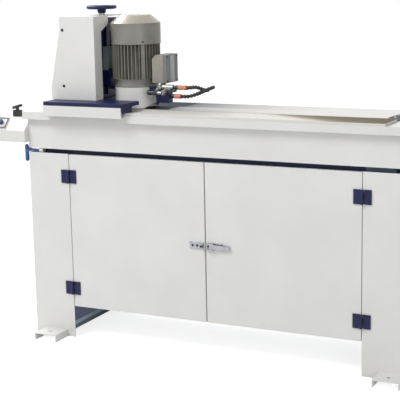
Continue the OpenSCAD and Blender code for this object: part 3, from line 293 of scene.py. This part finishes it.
def ramp_of(tree, value, stops):
    """Colour that changes with a value, from pairs of millimetres and colour."""
    first, last = stops[0][0], stops[-1][0]
    share = add(tree, "ShaderNodeMapRange", {"Value": value, "From Min": first * MM, "From Max": last * MM})
    ramp = add(tree, "ShaderNodeValToRGB", {"Fac": share.outputs["Result"]})
    marks = ramp.color_ramp.elements
    while len(marks) < len(stops):
        marks.new(0.5)
    for mark, (at, colour) in zip(marks, stops):
        mark.position = (at - first) / (last - first)
        mark.color = linear(colour)
    return ramp.outputs["Color"]


def matt_film(material, share, colour):
    """Lays a dull film over a surface, as far as a share from nought to one."""
    tree = material.node_tree
    shader = tree.nodes["Principled BSDF"]
    under = shader.inputs["Base Color"].links[0].from_socket
    both = add(tree, "ShaderNodeMix", {"Factor": share, MIX_UNDER: under, MIX_OVER: colour}, data_type="RGBA")
    tree.links.new(both.outputs[MIX_RESULT], shader.inputs["Base Color"])
    bare = add(tree, "ShaderNodeMath", {0: 1.0, 1: share}, operation="SUBTRACT").outputs[0]
    for name in ("Metallic", "Specular IOR Level"):
        socket = shader.inputs[name]
        before = socket.links[0].from_socket if socket.links else socket.default_value
        left = add(tree, "ShaderNodeMath", {0: bare, 1: before}, operation="MULTIPLY").outputs[0]
        tree.links.new(left, socket)


# Painted shadow and reflection of the head along the bed, from the head to the right: how much of it lies
# there, and its colour
HEAD_SHADE_SHARES = [
    (-120, "#FFFFFF"), (-70, "#F2F2F2"), (-18, "#E6E6E6"), (35, "#DDDDDD"), (90, "#D2D2D2"),
    (170, "#C2C2C2"), (230, "#A6A6A6"), (400, "#595959"),
]
HEAD_SHADE_COLOURS = [(-120, "#63666C"), (0, "#6B6C6F"), (90, "#7F7C79"), (230, "#96918C")]
# How far it reaches on the bed: before the knife table, and below the bed's top
SHADE_BEFORE_TABLE = 8
SHADE_DEPTH = 3

# Painted reflection on the front track: its colours along the bed, on lines that slant across the track
TRACK_REFLECTION_COLOURS = [(40, "#DEDCD6"), (105, "#D2CCC0"), (160, "#A0988A"), (240, "#877F6E"), (460, "#7A7261")]
REFLECTION_SLANT = 1.9
REFLECTION_DEPTH = 0.4
# The track's edge lies this far before the back of the front way
TRACK_FROM_BACK = 6
TRACK_SIDE_COLOUR = "#D9D8D3"
# The groove behind the track starts and ends this far before and behind the track's edge
GROOVE_START = 0.6
GROOVE_END = 3.8
# The groove's colour is painted shade
GROOVE_COLOUR = "#8F8677"


def head_shade_film(material, front_y=None, bottom_z=None):
    """Painted shadow and reflection of the head: grey beside it, thinning out along the bed.

    Where limits are given, it lies only behind the first and above the second.
    """
    tree = material.node_tree
    x, y, z = position(tree)
    share = ramp_of(tree, x, HEAD_SHADE_SHARES)
    if front_y is not None:
        share = masked(tree, share, (y, "GREATER_THAN", front_y), (z, "GREATER_THAN", bottom_z))
    matt_film(material, share, ramp_of(tree, x, HEAD_SHADE_COLOURS))


def track_film(material, edge_y, top_z):
    """Painted reflection on the front track, pale at the left and brown at the right, over a flat pale film
    on the track's top and front; painted shade in the groove behind it.
    """
    tree = material.node_tree
    x, y, z = position(tree)
    slant = add(tree, "ShaderNodeMath", {0: y, 1: REFLECTION_SLANT, 2: x}, operation="MULTIPLY_ADD").outputs[0]
    on_track = (y, "LESS_THAN", edge_y)
    on_top = (z, "GREATER_THAN", top_z - REFLECTION_DEPTH)
    matt_film(material, masked(tree, 1.0, on_track), linear(TRACK_SIDE_COLOUR))
    matt_film(material, masked(tree, 1.0, on_track, on_top), ramp_of(tree, slant, TRACK_REFLECTION_COLOURS))
    past_start = (y, "GREATER_THAN", edge_y - GROOVE_START)
    before_end = (y, "LESS_THAN", edge_y + GROOVE_END)
    matt_film(material, masked(tree, 1.0, past_start, before_end), linear(GROOVE_COLOUR))


def paint_beyond(material, axis, comparison, limit, colour):
    """Dull paint on one side of a limit in millimetres along an axis."""
    tree = material.node_tree
    share = masked(tree, 1.0, (position(tree)[axis], comparison, limit))
    matt_film(material, share, linear(colour))


def box_mm(node):
    """Lowest and highest corner of a CAD node, in millimetres."""
    low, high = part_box(node)
    return low / MM, high / MM


TABLE_LOW = box_mm("knife_table")[0]
BED_HIGH = box_mm("bed")[1]
WAY_HIGH = box_mm("front_way")[1]
# Painted shadow and reflection of the head on the knife table, the front way and the bed's top
head_shade_film(GROUND_STEEL)
head_shade_film(GROUND_WAY)
head_shade_film(BED_ENAMEL, TABLE_LOW.y - SHADE_BEFORE_TABLE, BED_HIGH.z - SHADE_DEPTH)
# Painted reflection on the front track, and painted shade in its groove
track_film(GROUND_WAY, WAY_HIGH.y - TRACK_FROM_BACK, WAY_HIGH.z)

# Foot of the pedestals: a pale band above a grey skirt
PALE_BAND_TOP = 59
SKIRT_TOP = 45
paint_beyond(PEDESTAL_NAVY, "Z", "LESS_THAN", PALE_BAND_TOP, "#A9B5C2")
paint_beyond(PEDESTAL_NAVY, "Z", "LESS_THAN", SKIRT_TOP, "#6E7984")

# Right end of the tray, painted slate grey as the light on it from this far past the right pedestal's inner
# side
LIT_PAST_PEDESTAL = 5
PEDESTAL_LOW = box_mm("right_pedestal")[0]
paint_beyond(TRAY_NAVY, "X", "GREATER_THAN", PEDESTAL_LOW.x + LIT_PAST_PEDESTAL, "#56636F")

# Share of the head slide's height that its grey pad takes up, from the top
PAD_SHARE = 0.62
SLIDE_LOW, SLIDE_HIGH = box_mm("head_slide")
PAD_BOTTOM = SLIDE_HIGH.z - PAD_SHARE * (SLIDE_HIGH.z - SLIDE_LOW.z)
paint_beyond(SLIDE_GREY, "Z", "LESS_THAN", PAD_BOTTOM, "#1B2149")

# Pieces: distances in millimetres within which points are one, and angles in degrees
COPY_WELD = 0.002
SPIN_WELD = 0.001
FLAT_ANGLE = 1
SMOOTH_ANGLE = 40
SHARP_ANGLE = 35


def body_of(node):
    """Body that a CAD node rides on."""
    return NODES[node]["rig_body"]


def finish_mesh(name, bm, material):
    """Object at the origin from a bmesh, shaded smooth up to an angle."""
    mesh = bpy.data.meshes.new(name)
    bm.to_mesh(mesh)
    bm.free()
    mesh.shade_smooth()
    mesh.set_sharp_from_angle(angle=math.radians(SMOOTH_ANGLE))
    mesh.materials.append(material)
    made = bpy.data.objects.new(name, mesh)
    bpy.context.scene.collection.objects.link(made)
    return made


def piece(name, bm, material, body, slot, *replaced):
    """A finished piece that rides on a body and may stand for CAD nodes."""
    made = finish_mesh(name, bm, material)
    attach(made, body)
    if replaced:
        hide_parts(*replaced)
    return made


def node_slot(node):
    """Record's material slot of a CAD node."""
    return next(s["material_slot"] for s in frame["record"]["subparts"] if s["node"] == node)


def merged_copy(node):
    """A node's mesh with its triangles joined and its flat faces made whole."""
    bm = bmesh.new()
    bm.from_mesh(NODES[node].data)
    bmesh.ops.remove_doubles(bm, verts=bm.verts, dist=COPY_WELD * MM)
    bmesh.ops.dissolve_limit(bm, angle_limit=math.radians(FLAT_ANGLE), verts=bm.verts, edges=bm.edges)
    return bm


def ease_edges(bm, width):
    """Rounds the sharp edges to a width in millimetres."""
    limit = math.radians(SHARP_ANGLE)
    sharp = [e for e in bm.edges if len(e.link_faces) == 2 and e.calc_face_angle() > limit]
    bmesh.ops.bevel(bm, geom=sharp, offset=width * MM, offset_type="OFFSET", segments=2, profile=0.5,
                    affect="EDGES", material=-1, clamp_overlap=True)


def dressed(node, width, material):
    """A node with eased edges, standing for the plain one."""
    bm = merged_copy(node)
    ease_edges(bm, width)
    made = piece(f"{node}_eased", bm, material, body_of(node), node_slot(node), node)
    flat = made.modifiers.new("flat_faces", "WEIGHTED_NORMAL")
    flat.keep_sharp = True
    return made


def turned(bm, profile, start, along, steps):
    """Spins a profile of (radius, height) pairs in millimetres about an axis, and adds it in its place."""
    part = bmesh.new()
    verts = [part.verts.new((r * MM, 0, h * MM)) for r, h in profile]
    edges = [part.edges.new(pair) for pair in zip(verts, verts[1:])]
    bmesh.ops.spin(part, geom=verts + edges, cent=(0, 0, 0), axis=UP, dvec=(0, 0, 0),
                   angle=math.tau, steps=steps, use_merge=True, use_duplicate=False)
    bmesh.ops.remove_doubles(part, verts=part.verts, dist=SPIN_WELD * MM)
    bmesh.ops.recalc_face_normals(part, faces=part.faces)
    turn = Vector(UP).rotation_difference(Vector(along)).to_matrix().to_4x4()
    bmesh.ops.transform(part, matrix=Matrix.Translation(Vector(start)) @ turn, verts=part.verts)
    shell = bpy.data.meshes.new("turned")
    part.to_mesh(shell)
    part.free()
    bm.from_mesh(shell)
    bpy.data.meshes.remove(shell)


# A button head with a round socket, as shares of its radius and height
BUTTON_HEAD = [(0, 0.45), (0.42, 0.45), (0.46, 1), (0.7, 0.96), (0.95, 0.6), (1, 0), (0, 0)]


def screws(name, places, along, head, material, body):
    """Button-head screws or rivets as one piece; a head is its radius and height in millimetres."""
    radius, height = head
    profile = [(radius * across, height * up) for across, up in BUTTON_HEAD]
    bm = bmesh.new()
    for place in places:
        turned(bm, profile, place, along, steps=16)
    piece(name, bm, material, body, "bare_steel")


def metres(x, y, z):
    """Point in metres from millimetres."""
    return Vector((x * MM, y * MM, z * MM))


# Coolant hoses: segmented, from the connectors to the nozzles; steps in millimetres from each start
LOWER_START = (-46, -80, 850)
UPPER_START = (-24, -80, 879)
LOWER_STEPS = [
    (0, 0, 0), (9, 0, 0), (18, 0, 0), (27, 0, 0.6), (36, 0, 2.2), (45, 0, 4.6), (54, 0, 7.5),
    (63, -0.5, 10.8), (72, -1, 14.5), (81, -1.5, 18.3), (90, -2, 22.2), (99, -2.5, 25.8), (108, -3, 29.2),
    (118, -3.5, 32.7), (129, -4, 36),
]
UPPER_STEPS = [
    (0, 0, 0), (6, 0, 0), (12, 0, 0.6), (18, 0, 1.8), (24, 0, 2.8), (30, 0.3, 3.2), (36, 1, 2.6),
    (41.5, 2.6, 1.2), (46.5, 5.2, -1), (50.8, 8.8, -3.6), (54.3, 13.6, -6), (57, 19.2, -7.8),
    (59, 25.4, -9), (60.5, 32, -9.8), (61.5, 39.4, -10.2),
]
ROUTE_SAMPLES = 400
HOSE_D = 13.0
HOSE_R = HOSE_D / 2
SEGMENT_PITCH = 9.0
NOZZLE_L = 8.0
# A segment's outline as shares of the hose's radius and of the pitch: neck, ball, neck
SEGMENT_OUTLINE = [
    (0.66, 0), (0.74, 0.06), (0.94, 0.17), (1, 0.32), (1, 0.62), (0.93, 0.76), (0.74, 0.88), (0.66, 0.94),
    (0.66, 1.06),
]
# The nozzle's outline as shares of the hose's radius, and millimetres along it
NOZZLE_OUTLINE = [
    (0, 0), (0.74, 0), (0.98, 1.2), (0.98, 3.4), (0.62, 6), (0.5, NOZZLE_L - 0.4),
    (0.34, NOZZLE_L - 0.4), (0.3, NOZZLE_L - 3), (0, NOZZLE_L - 3),
]


def curve_at(points, share):
    """Point at a share of a smooth curve through points."""
    n = len(points) - 1
    i = min(int(share * n), n - 1)
    t = share * n - i
    a, b, c, d = points[max(i - 1, 0)], points[i], points[i + 1], points[min(i + 2, n)]
    return (b + (c - a) * (t / 2) + (a * 2 - b * 5 + c * 4 - d) * (t * t / 2)
            + (b * 3 - a - c * 3 + d) * (t * t * t / 2))


def route(start, steps):
    """Evenly spaced points, in metres, along a hose with a millimetre between them."""
    points = [metres(*start) + metres(*step) for step in steps]
    fine = [curve_at(points, k / ROUTE_SAMPLES) for k in range(ROUTE_SAMPLES + 1)]
    even = [fine[0]]
    for p in fine[1:]:
        if (p - even[-1]).length >= MM:
            even.append(p)
    return even


def hose(node, start, steps):
    """Ball-and-socket segments along a route, and a nozzle on the last one."""
    line = route(start, steps)
    body_end = len(line) - 1 - int(NOZZLE_L)
    count = round(body_end / SEGMENT_PITCH)
    pitch = body_end / count
    segment = [(HOSE_R * across, pitch * along) for across, along in SEGMENT_OUTLINE]
    bm = bmesh.new()
    for k in range(count):
        here = line[round(k * body_end / count)]
        after = line[round((k + 1) * body_end / count)]
        turned(bm, segment, here, after - here, steps=20)
    made = piece(f"{node}_segments", bm, BLACK_ACETAL, "head", "black_plastic", node)
    tip = bmesh.new()
    nozzle = [(HOSE_R * across, along) for across, along in NOZZLE_OUTLINE]
    turned(tip, nozzle, line[body_end], line[-1] - line[body_end], steps=24)
    end = piece(f"{node}_nozzle", tip, BLACK_ACETAL, "head", "black_plastic", node)


hose("lower_hose", LOWER_START, LOWER_STEPS)
hose("upper_hose", UPPER_START, UPPER_STEPS)

# Hose connectors: their lengths, and the share of each that its threaded end takes up
LOWER_CONNECTOR_L = 38
UPPER_CONNECTOR_L = 49
NIPPLE_SHARE = 0.4


def nipple_outline(length):
    """Threaded end of a connector: two grooves, then a shoulder."""
    return [(0, 0), (6.2, 0), (6.2, 3), (5.4, 3.4), (5.4, 4.4), (6.2, 4.8), (6.2, 7), (5.4, 7.4),
            (5.4, 8.4), (7.2, 8.8), (7.2, length), (0, length)]


def collar_outline(length):
    """Collar of a connector, with a waist."""
    return [(0, 0), (7.6, 0), (7.9, 0.8), (7.9, length * 0.35), (6.9, length * 0.42), (6.9, length * 0.6),
            (8.0, length * 0.68), (8.0, length - 1.2), (7.2, length), (0, length)]


def connectors():
    """Screw-in connectors: a black threaded end, then an orange collar."""
    collars = bmesh.new()
    nipples = bmesh.new()
    for (x, y, z), length in ((LOWER_START, LOWER_CONNECTOR_L), (UPPER_START, UPPER_CONNECTOR_L)):
        nipple_l = length * NIPPLE_SHARE
        collar_l = length - nipple_l
        turned(nipples, nipple_outline(nipple_l), metres(x - length, y, z), RIGHT, steps=24)
        turned(collars, collar_outline(collar_l), metres(x - collar_l, y, z), RIGHT, steps=24)
    piece("connector_collars", collars, ORANGE_PLASTIC, "head", "orange_plastic", "hose_connectors")
    piece("connector_nipples", nipples, BLACK_ACETAL, "head", "black_plastic", "hose_connectors")


connectors()

# Eased copies of the CAD nodes: edge radius in millimetres and finish
EASED = {
    "left_pedestal": (1.0, PEDESTAL_NAVY),
    "right_pedestal": (1.0, PEDESTAL_NAVY),
    "front_panels": (1.0, WHITE_ENAMEL),
    "floor_feet": (1.2, WHITE_ENAMEL),
    "rear_panel": (0.6, WHITE_ENAMEL),
    "left_door": (1.6, WHITE_ENAMEL),
    "right_door": (1.6, WHITE_ENAMEL),
    "hinge_frame_leaves": (0.6, NAVY_ENAMEL),
    "left_hinge_leaves": (0.6, NAVY_ENAMEL),
    "right_hinge_leaves": (0.6, NAVY_ENAMEL),
    "latch_base": (0.6, CHROME_PLATE),
    "latch_lever": (0.8, CHROME_PLATE),
    "latch_keeper": (0.6, CHROME_PLATE),
    "coolant_tray": (0.6, TRAY_NAVY),
    "bed": (2.0, BED_ENAMEL),
    "front_way": (0.5, GROUND_WAY),
    "knife_table": (0.8, GROUND_STEEL),
    "table_brackets": (0.8, SHOP_GREY),
    "saddle": (1.2, NAVY_ENAMEL),
    "apron": (1.0, WHITE_ENAMEL),
    "saddle_gibs": (0.6, BARE_STEEL),
    "column": (1.6, NAVY_ENAMEL),
    "column_cover": (0.7, WHITE_ENAMEL),
    "head_slide": (0.8, SLIDE_GREY),
    "head_bracket": (1.0, NAVY_ENAMEL),
    "motor_flange": (1.2, FLANGE_GREY),
    "motor_housing": (0.5, MOTOR_GREY),
    "fan_cover": (0.8, FAN_COVER_GREY),
    "terminal_box": (1.2, BEIGE_PLASTIC),
    "terminal_lid": (2.0, LID_GREY),
    "wheel_guard": (0.8, WHITE_ENAMEL),
    "grinding_wheel": (1.0, WHITE_ABRASIVE),
    "wheel_flange": (0.6, BARE_STEEL),
    "coolant_manifold": (1.0, NAVY_ENAMEL),
    "coolant_fittings": (0.8, BARE_STEEL),
    "control_box": (2.0, WHITE_ENAMEL),
    "control_panel": (0.4, WHITE_ENAMEL),
    "limit_switch": (1.0, BLACK_ACETAL),
    "feed_handwheel": (0.8, NAVY_ENAMEL),
    "start_button": (1.2, BLUE_BUTTON),
    "stop_button": (1.2, RED_BUTTON),
    "coolant_tank": (1.0, SHOP_GREY),
    "coolant_pump": (1.5, SHOP_GREY),
    "feed_gearmotor": (1.2, SHOP_GREY),
    "drive_pulley": (0.5, BARE_STEEL),
    "idler_pulley": (0.5, BARE_STEEL),
    "feed_screw": (0.4, BARE_STEEL),
}
EASED_PIECES = {name: dressed(name, width, finish) for name, (width, finish) in EASED.items()}


def second_finish(node, material, chosen):
    """Gives a second finish to the faces of an eased piece that a test picks."""
    mesh = EASED_PIECES[node].data
    mesh.materials.append(material)
    for face in mesh.polygons:
        if chosen(face):
            face.material_index = 1


# The cone over the fan, painted pale as light from above: faces that look up at least this much
CONE_RISE = 0.25
second_finish("fan_cover", FAN_CONE_GREY, lambda face: face.normal.z > CONE_RISE)
# The white pipe of the drain valve, at the tray's left end
PIPE_L = 19.5
PIPE_END_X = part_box("coolant_tray")[0].x + PIPE_L * MM
second_finish("coolant_tray", WHITE_ENAMEL, lambda face: face.center.x < PIPE_END_X)

# Nodes that keep their own mesh
PLAIN = {
    "cabinet_floor": SHOP_GREY,
    "hinge_pins": NAVY_ENAMEL,
    "drive_belt": BELT_RUBBER,
    "feed_nut": CAST_BRONZE,
    "stator": VARNISHED_CORE,
    "rotor": BARE_STEEL,
    "motor_bearings": BARE_STEEL,
    "cooling_fan": BLACK_ACETAL,
}
for name, finish in PLAIN.items():
    NODES[name].data.materials.clear()
    NODES[name].data.materials.append(finish)

# Fine pieces, with sizes and places in millimetres, and heads as radius and height
# Column cover: its screws' heads, and their places from its right side and from its bottom
COVER_SCREW_HEAD = (5.0, 2.6)
COVER_SCREWS = [(123, 235), (125, 47)]

# Hinges: thickness and height of the leaves, the screws' heads and their place from the leaves' edges
HINGE_LEAF_T = 4
HINGE_H = 46
HINGE_SCREW_HEAD = (3.4, 0.9)
HINGE_SCREW_INSET = 10
# Body of each set of leaves, and the sides of its box that have screws
HINGE_SCREW_SIDES = {
    "hinge_frame_leaves": ("stand", [LEFT, RIGHT]),
    "left_hinge_leaves": ("left_door", [RIGHT]),
    "right_hinge_leaves": ("right_door", [LEFT]),
}

# Latch: thickness of its plates, the rivets' heads and their places from the plates' ends
LATCH_PLATE_T = 3
RIVET_HEAD = (4.2, 1.0)
SMALL_RIVET_HEAD = (2.2, 1.0)
KEEPER_RIVETS = [11, 28]
HOOK_RIVET = 4.5
BASE_RIVET = 5
BASE_END_RIVET = 6
BASE_SIDE_RIVET = 5

# Terminal box: the lid's band, its screws' heads and inset, and the cable gland's place
BAND_THICKNESS = 1.6
BAND_WIDTH_SHARE = 0.34
BAND_HEIGHT_SHARE = 0.94
BAND_EASE = 0.5
LID_SCREW_HEAD = (3.0, 1.6)
LID_SCREW_INSET = 7
GLAND_FROM_LID = 12
GLAND_FROM_FRONT = 20

# Fan cover: its screws' heads, their height above the lower edge, and how far they sink into the sheet
FAN_SCREWS = 4
FAN_SCREW_HEAD = (3.2, 2.0)
FAN_SCREW_RISE = 9
FAN_SCREW_SINK = 0.2

# Coolant valve: its hub's radius, the stem's place behind the lever's front, and where the grip starts
VALVE_HUB_R = 8
VALVE_STEM_DEPTH = 7
VALVE_GRIP_START = 18

# Drain valve's handle: how far its stem is below the bar's top, and the bar's radius
DRAIN_STEM_DROP = 18
DRAIN_BAR_R = 7.0

# Console's panel: its slope rises 21 mm for every 20 mm back; size of the border round its face
PANEL_OUTWARD = Vector((0, -21, 20)).normalized()
PANEL_FACE_DEPTH = 0.3
BORDER_INSET = 0.4
BORDER_WIDTH = 6
BORDER_HEIGHT = 0.9
BORDER_EASE = 0.2


def cover_screws():
    """Two dark button heads on the column cover's front."""
    low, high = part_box("column_cover")
    places = [(high.x - x * MM, low.y, low.z + z * MM) for x, z in COVER_SCREWS]
    screws("cover_screws", places, FRONT, COVER_SCREW_HEAD, BLACK_OXIDE, "carriage")


def hinge_screws():
    """Two screw heads in each hinge leaf, painted with it."""
    near = HINGE_SCREW_INSET * MM
    far = (HINGE_H - HINGE_SCREW_INSET) * MM
    for node, (body, sides) in HINGE_SCREW_SIDES.items():
        low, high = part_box(node)
        face_y = high.y - HINGE_LEAF_T * MM
        columns = [low.x + near if side is LEFT else high.x - near for side in sides]
        heights = [low.z + near, low.z + far, high.z - far, high.z - near]
        places = [(x, face_y, z) for x in columns for z in heights]
        screws(f"{node}_screws", places, FRONT, HINGE_SCREW_HEAD, NAVY_ENAMEL, body)


def latch_rivets():
    """Dark rivets: three in a row on the keeper, one on the base and two at the base's far end."""
    low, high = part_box("latch_keeper")
    face = high.y - LATCH_PLATE_T * MM
    middle_z = (low.z + high.z) / 2
    places = [(low.x + x * MM, face, middle_z) for x in KEEPER_RIVETS]
    places.append((high.x - HOOK_RIVET * MM, low.y, middle_z))
    screws("keeper_rivets", places, FRONT, RIVET_HEAD, BLACK_OXIDE, "left_door")
    low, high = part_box("latch_base")
    places = [(low.x + BASE_RIVET * MM, face, middle_z)]
    screws("base_rivet", places, FRONT, RIVET_HEAD, BLACK_OXIDE, "right_door")
    heights = (low.z + BASE_SIDE_RIVET * MM, high.z - BASE_SIDE_RIVET * MM)
    places = [(high.x - BASE_END_RIVET * MM, face, z) for z in heights]
    screws("base_end_rivets", places, FRONT, SMALL_RIVET_HEAD, BLACK_OXIDE, "right_door")


def lid_trim():
    """Raised band down the terminal lid, pale as a painted highlight, and a screw at each corner."""
    low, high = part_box("terminal_lid")
    middle = (low + high) / 2
    span = high - low
    bm = bmesh.new()
    bmesh.ops.create_cube(bm, size=1)
    size = (BAND_THICKNESS * MM, span.y * BAND_WIDTH_SHARE, span.z * BAND_HEIGHT_SHARE)
    place = Matrix.Translation((high.x, middle.y, middle.z)) @ Matrix.Diagonal((*size, 1))
    bmesh.ops.transform(bm, matrix=place, verts=bm.verts)
    ease_edges(bm, BAND_EASE)
    piece("lid_band", bm, LID_BAND, "head", "grey_paint")
    inset = LID_SCREW_INSET * MM
    heights = (low.z + inset, high.z - inset)
    corners = [(high.x, y, z) for y in (low.y + inset, high.y - inset) for z in heights]
    screws("lid_screws", corners, RIGHT, LID_SCREW_HEAD, BLACK_OXIDE, "head")


def gland_nut():
    """Hexagon cap nut on the cable gland under the terminal box."""
    low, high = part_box("terminal_box")
    bm = bmesh.new()
    profile = [(0, 0), (6, 0), (7.5, 1), (10.5, 1.5), (10.5, 9), (9.5, 10), (0, 10)]
    start = (high.x - GLAND_FROM_LID * MM, low.y + GLAND_FROM_FRONT * MM, low.z)
    turned(bm, profile, start, UP, steps=6)
    piece("gland_nut", bm, BLACK_ACETAL, "head", "black_plastic")


def fan_cover_screws():
    """Screws that hold the fan cover, on the diagonals near its lower edge."""
    low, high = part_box("fan_cover")
    middle = (low + high) / 2
    radius = (high.x - low.x) / 2
    for k in range(FAN_SCREWS):
        turn = math.tau * (k + 0.5) / FAN_SCREWS
        out = Vector((math.cos(turn), math.sin(turn), 0))
        axis = Vector((middle.x, middle.y, low.z + FAN_SCREW_RISE * MM))
        place = axis + out * (radius - FAN_SCREW_SINK * MM)
        screws(f"fan_cover_screw_{k}", [place], out, FAN_SCREW_HEAD, BLACK_OXIDE, "head")


def valve_handle():
    """Plated hub and stem of the valve lever, with a black grip."""
    low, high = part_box("valve_lever")
    hub = Vector((high.x - VALVE_HUB_R * MM, high.y, (low.z + high.z) / 2))
    steel = bmesh.new()
    cap = [(0, 0), (VALVE_HUB_R, 0), (VALVE_HUB_R, 6), (7, 7.6), (3, 7.6), (2.6, 8), (0, 8)]
    turned(steel, cap, hub, FRONT, steps=24)
    axis_y = low.y + VALVE_STEM_DEPTH * MM
    stem = [(0, 0), (6.2, 0), (6.2, 12), (5.6, 18), (4.6, 20), (0, 20)]
    turned(steel, stem, (hub.x, axis_y, hub.z), LEFT, steps=20)
    piece("valve_stem", steel, CHROME_PLATE, "valve_lever", "chrome", "valve_lever")
    grip = bmesh.new()
    profile = [(0, 0), (5.6, 0), (6.8, 1.2), (7.4, 8), (8.2, 18), (8.6, 27), (7.8, 32), (5, 34.4), (0, 35)]
    turned(grip, profile, (hub.x - VALVE_GRIP_START * MM, axis_y, hub.z), LEFT, steps=24)
    piece("valve_grip", grip, BLACK_ACETAL, "valve_lever", "black_plastic", "valve_lever")


def drain_handle():
    """Drain valve's handle: bar with round ends, hub and stem."""
    low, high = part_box("drain_handle")
    middle_y = (low.y + high.y) / 2
    bar_x = low.x + DRAIN_BAR_R * MM
    bar_l = (high.z - low.z) / MM
    end = [(0, 0), (3.4, 0.6), (5.8, 2.4), (6.8, 5.0), (DRAIN_BAR_R, 9)]
    other_end = [(r, bar_l - h) for r, h in reversed(end)]
    waist = (6.2, bar_l / 2)
    bm = bmesh.new()
    turned(bm, [*end, waist, *other_end], (bar_x, middle_y, low.z), UP, steps=28)
    stem_l = (high.x - low.x) / MM - DRAIN_BAR_R
    stem = [(0, 0), (8.4, 0), (9, 1.2), (8.6, 8), (6.5, 10.4), (6, 16), (4, 24), (4, stem_l), (0, stem_l)]
    turned(bm, stem, (bar_x, middle_y, high.z - DRAIN_STEM_DROP * MM), RIGHT, steps=28)
    piece("drain_bar", bm, BLUE_ENAMEL, "drain_handle", "blue_paint", "drain_handle")


def panel_border():
    """Thin olive border round the face of the console's panel."""
    uphill = Vector((0, PANEL_OUTWARD.z, -PANEL_OUTWARD.y))
    corners = [v.co for v in NODES["control_panel"].data.vertices]
    level = max(c.dot(PANEL_OUTWARD) for c in corners) - PANEL_FACE_DEPTH * MM
    rise = [c.dot(uphill) for c in corners if c.dot(PANEL_OUTWARD) > level]
    low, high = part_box("control_panel")
    inset = BORDER_INSET * MM
    left, right = low.x + inset, high.x - inset
    bottom, top = min(rise) + inset, max(rise) - inset
    outline = [(left, bottom), (right, bottom), (right, top), (left, top)]
    bm = bmesh.new()
    verts = [bm.verts.new(Vector((x, 0, 0)) + uphill * u + PANEL_OUTWARD * level) for x, u in outline]
    window = bm.faces.new(verts)
    window.normal_update()
    bmesh.ops.inset_individual(bm, faces=[window], thickness=(BORDER_WIDTH - BORDER_INSET) * MM,
                               use_even_offset=True)
    bmesh.ops.delete(bm, geom=[window], context="FACES_ONLY")
    raised = bmesh.ops.extrude_face_region(bm, geom=bm.faces[:], use_keep_orig=True)["geom"]
    raised_verts = [g for g in raised if isinstance(g, bmesh.types.BMVert)]
    bmesh.ops.translate(bm, vec=PANEL_OUTWARD * BORDER_HEIGHT * MM, verts=raised_verts)
    bmesh.ops.recalc_face_normals(bm, faces=bm.faces)
    ease_edges(bm, BORDER_EASE)
    piece("panel_border", bm, OLIVE_BORDER, "stand", "black_plastic")


cover_screws()
hinge_screws()
latch_rivets()
lid_trim()
gland_nut()
fan_cover_screws()
valve_handle()
drain_handle()
panel_border()

# Light and ground: strengths of the even light, the backdrop and the floor's glow, and half the
# floor's width in metres
WHITE = (1, 1, 1, 1)
EVEN_LIGHT = 0.42
BACKDROP_LIGHT = 1.0
FLOOR_GLOW = 0.8
FLOOR_REACH = 12
# Lamps: place, aim and size in metres, and power in watts
LAMPS = {
    "key_lamp": ((-1.9, -2.9, 4.2), (0, 0, 0.6), 2.0, 141),
    "fill_lamp": ((3.4, -3.2, 1.6), (0, 0, 0.6), 2.4, 44),
    "rim_lamp": ((-2.3, 0.75, 3.0), (-0.2, 0, 1.1), 1.4, 75),
}


def seen_rays(tree):
    """One where the camera looks, straight, in a mirror or through a glass."""
    path = add(tree, "ShaderNodeLightPath").outputs
    seen = path["Is Camera Ray"]
    for kind in ("Is Glossy Ray", "Is Transmission Ray"):
        seen = add(tree, "ShaderNodeMath", {0: seen, 1: path[kind]}, operation="MAXIMUM").outputs[0]
    return seen


def make_world():
    """Even studio light, with a white backdrop."""
    world = bpy.data.worlds.new("studio")
    world.use_nodes = True
    tree = world.node_tree
    tree.nodes.clear()
    lit = add(tree, "ShaderNodeBackground", {"Color": linear("#F2F4F7"), "Strength": EVEN_LIGHT})
    white = add(tree, "ShaderNodeBackground", {"Color": WHITE, "Strength": BACKDROP_LIGHT})
    both = add(tree, "ShaderNodeMixShader", {0: seen_rays(tree), 1: lit.outputs[0], 2: white.outputs[0]})
    add(tree, "ShaderNodeOutputWorld", {"Surface": both.outputs[0]})
    bpy.context.scene.world = world


def make_floor():
    """Pale floor that stays white to the eye and keeps the shadow."""
    made = bpy.data.materials.new("pale_floor")
    made.use_nodes = True
    tree = made.node_tree
    tree.nodes.clear()
    matt = add(tree, "ShaderNodeBsdfDiffuse", {"Color": linear("#D8D8D8")})
    glow = add(tree, "ShaderNodeEmission", {"Color": WHITE, "Strength": FLOOR_GLOW})
    bright = add(tree, "ShaderNodeAddShader", {0: matt.outputs[0], 1: glow.outputs[0]})
    both = add(tree, "ShaderNodeMixShader", {0: seen_rays(tree), 1: matt.outputs[0], 2: bright.outputs[0]})
    add(tree, "ShaderNodeOutputMaterial", {"Surface": both.outputs[0]})
    bm = bmesh.new()
    bmesh.ops.create_grid(bm, x_segments=1, y_segments=1, size=FLOOR_REACH)
    floor = finish_mesh("floor", bm, made)


def area_light(name, place, aim, size, power):
    """Soft square lamp that looks at a point."""
    data = bpy.data.lights.new(name, "AREA")
    data.size = size
    data.energy = power
    lamp = bpy.data.objects.new(name, data)
    away = Vector(place) - Vector(aim)
    lamp.matrix_world = Matrix.Translation(place) @ away.to_track_quat("Z", "Y").to_matrix().to_4x4()
    bpy.context.scene.collection.objects.link(lamp)


make_world()
make_floor()
for name, settings in LAMPS.items():
    area_light(name, *settings)
bpy.context.scene.view_settings.view_transform = "Standard"
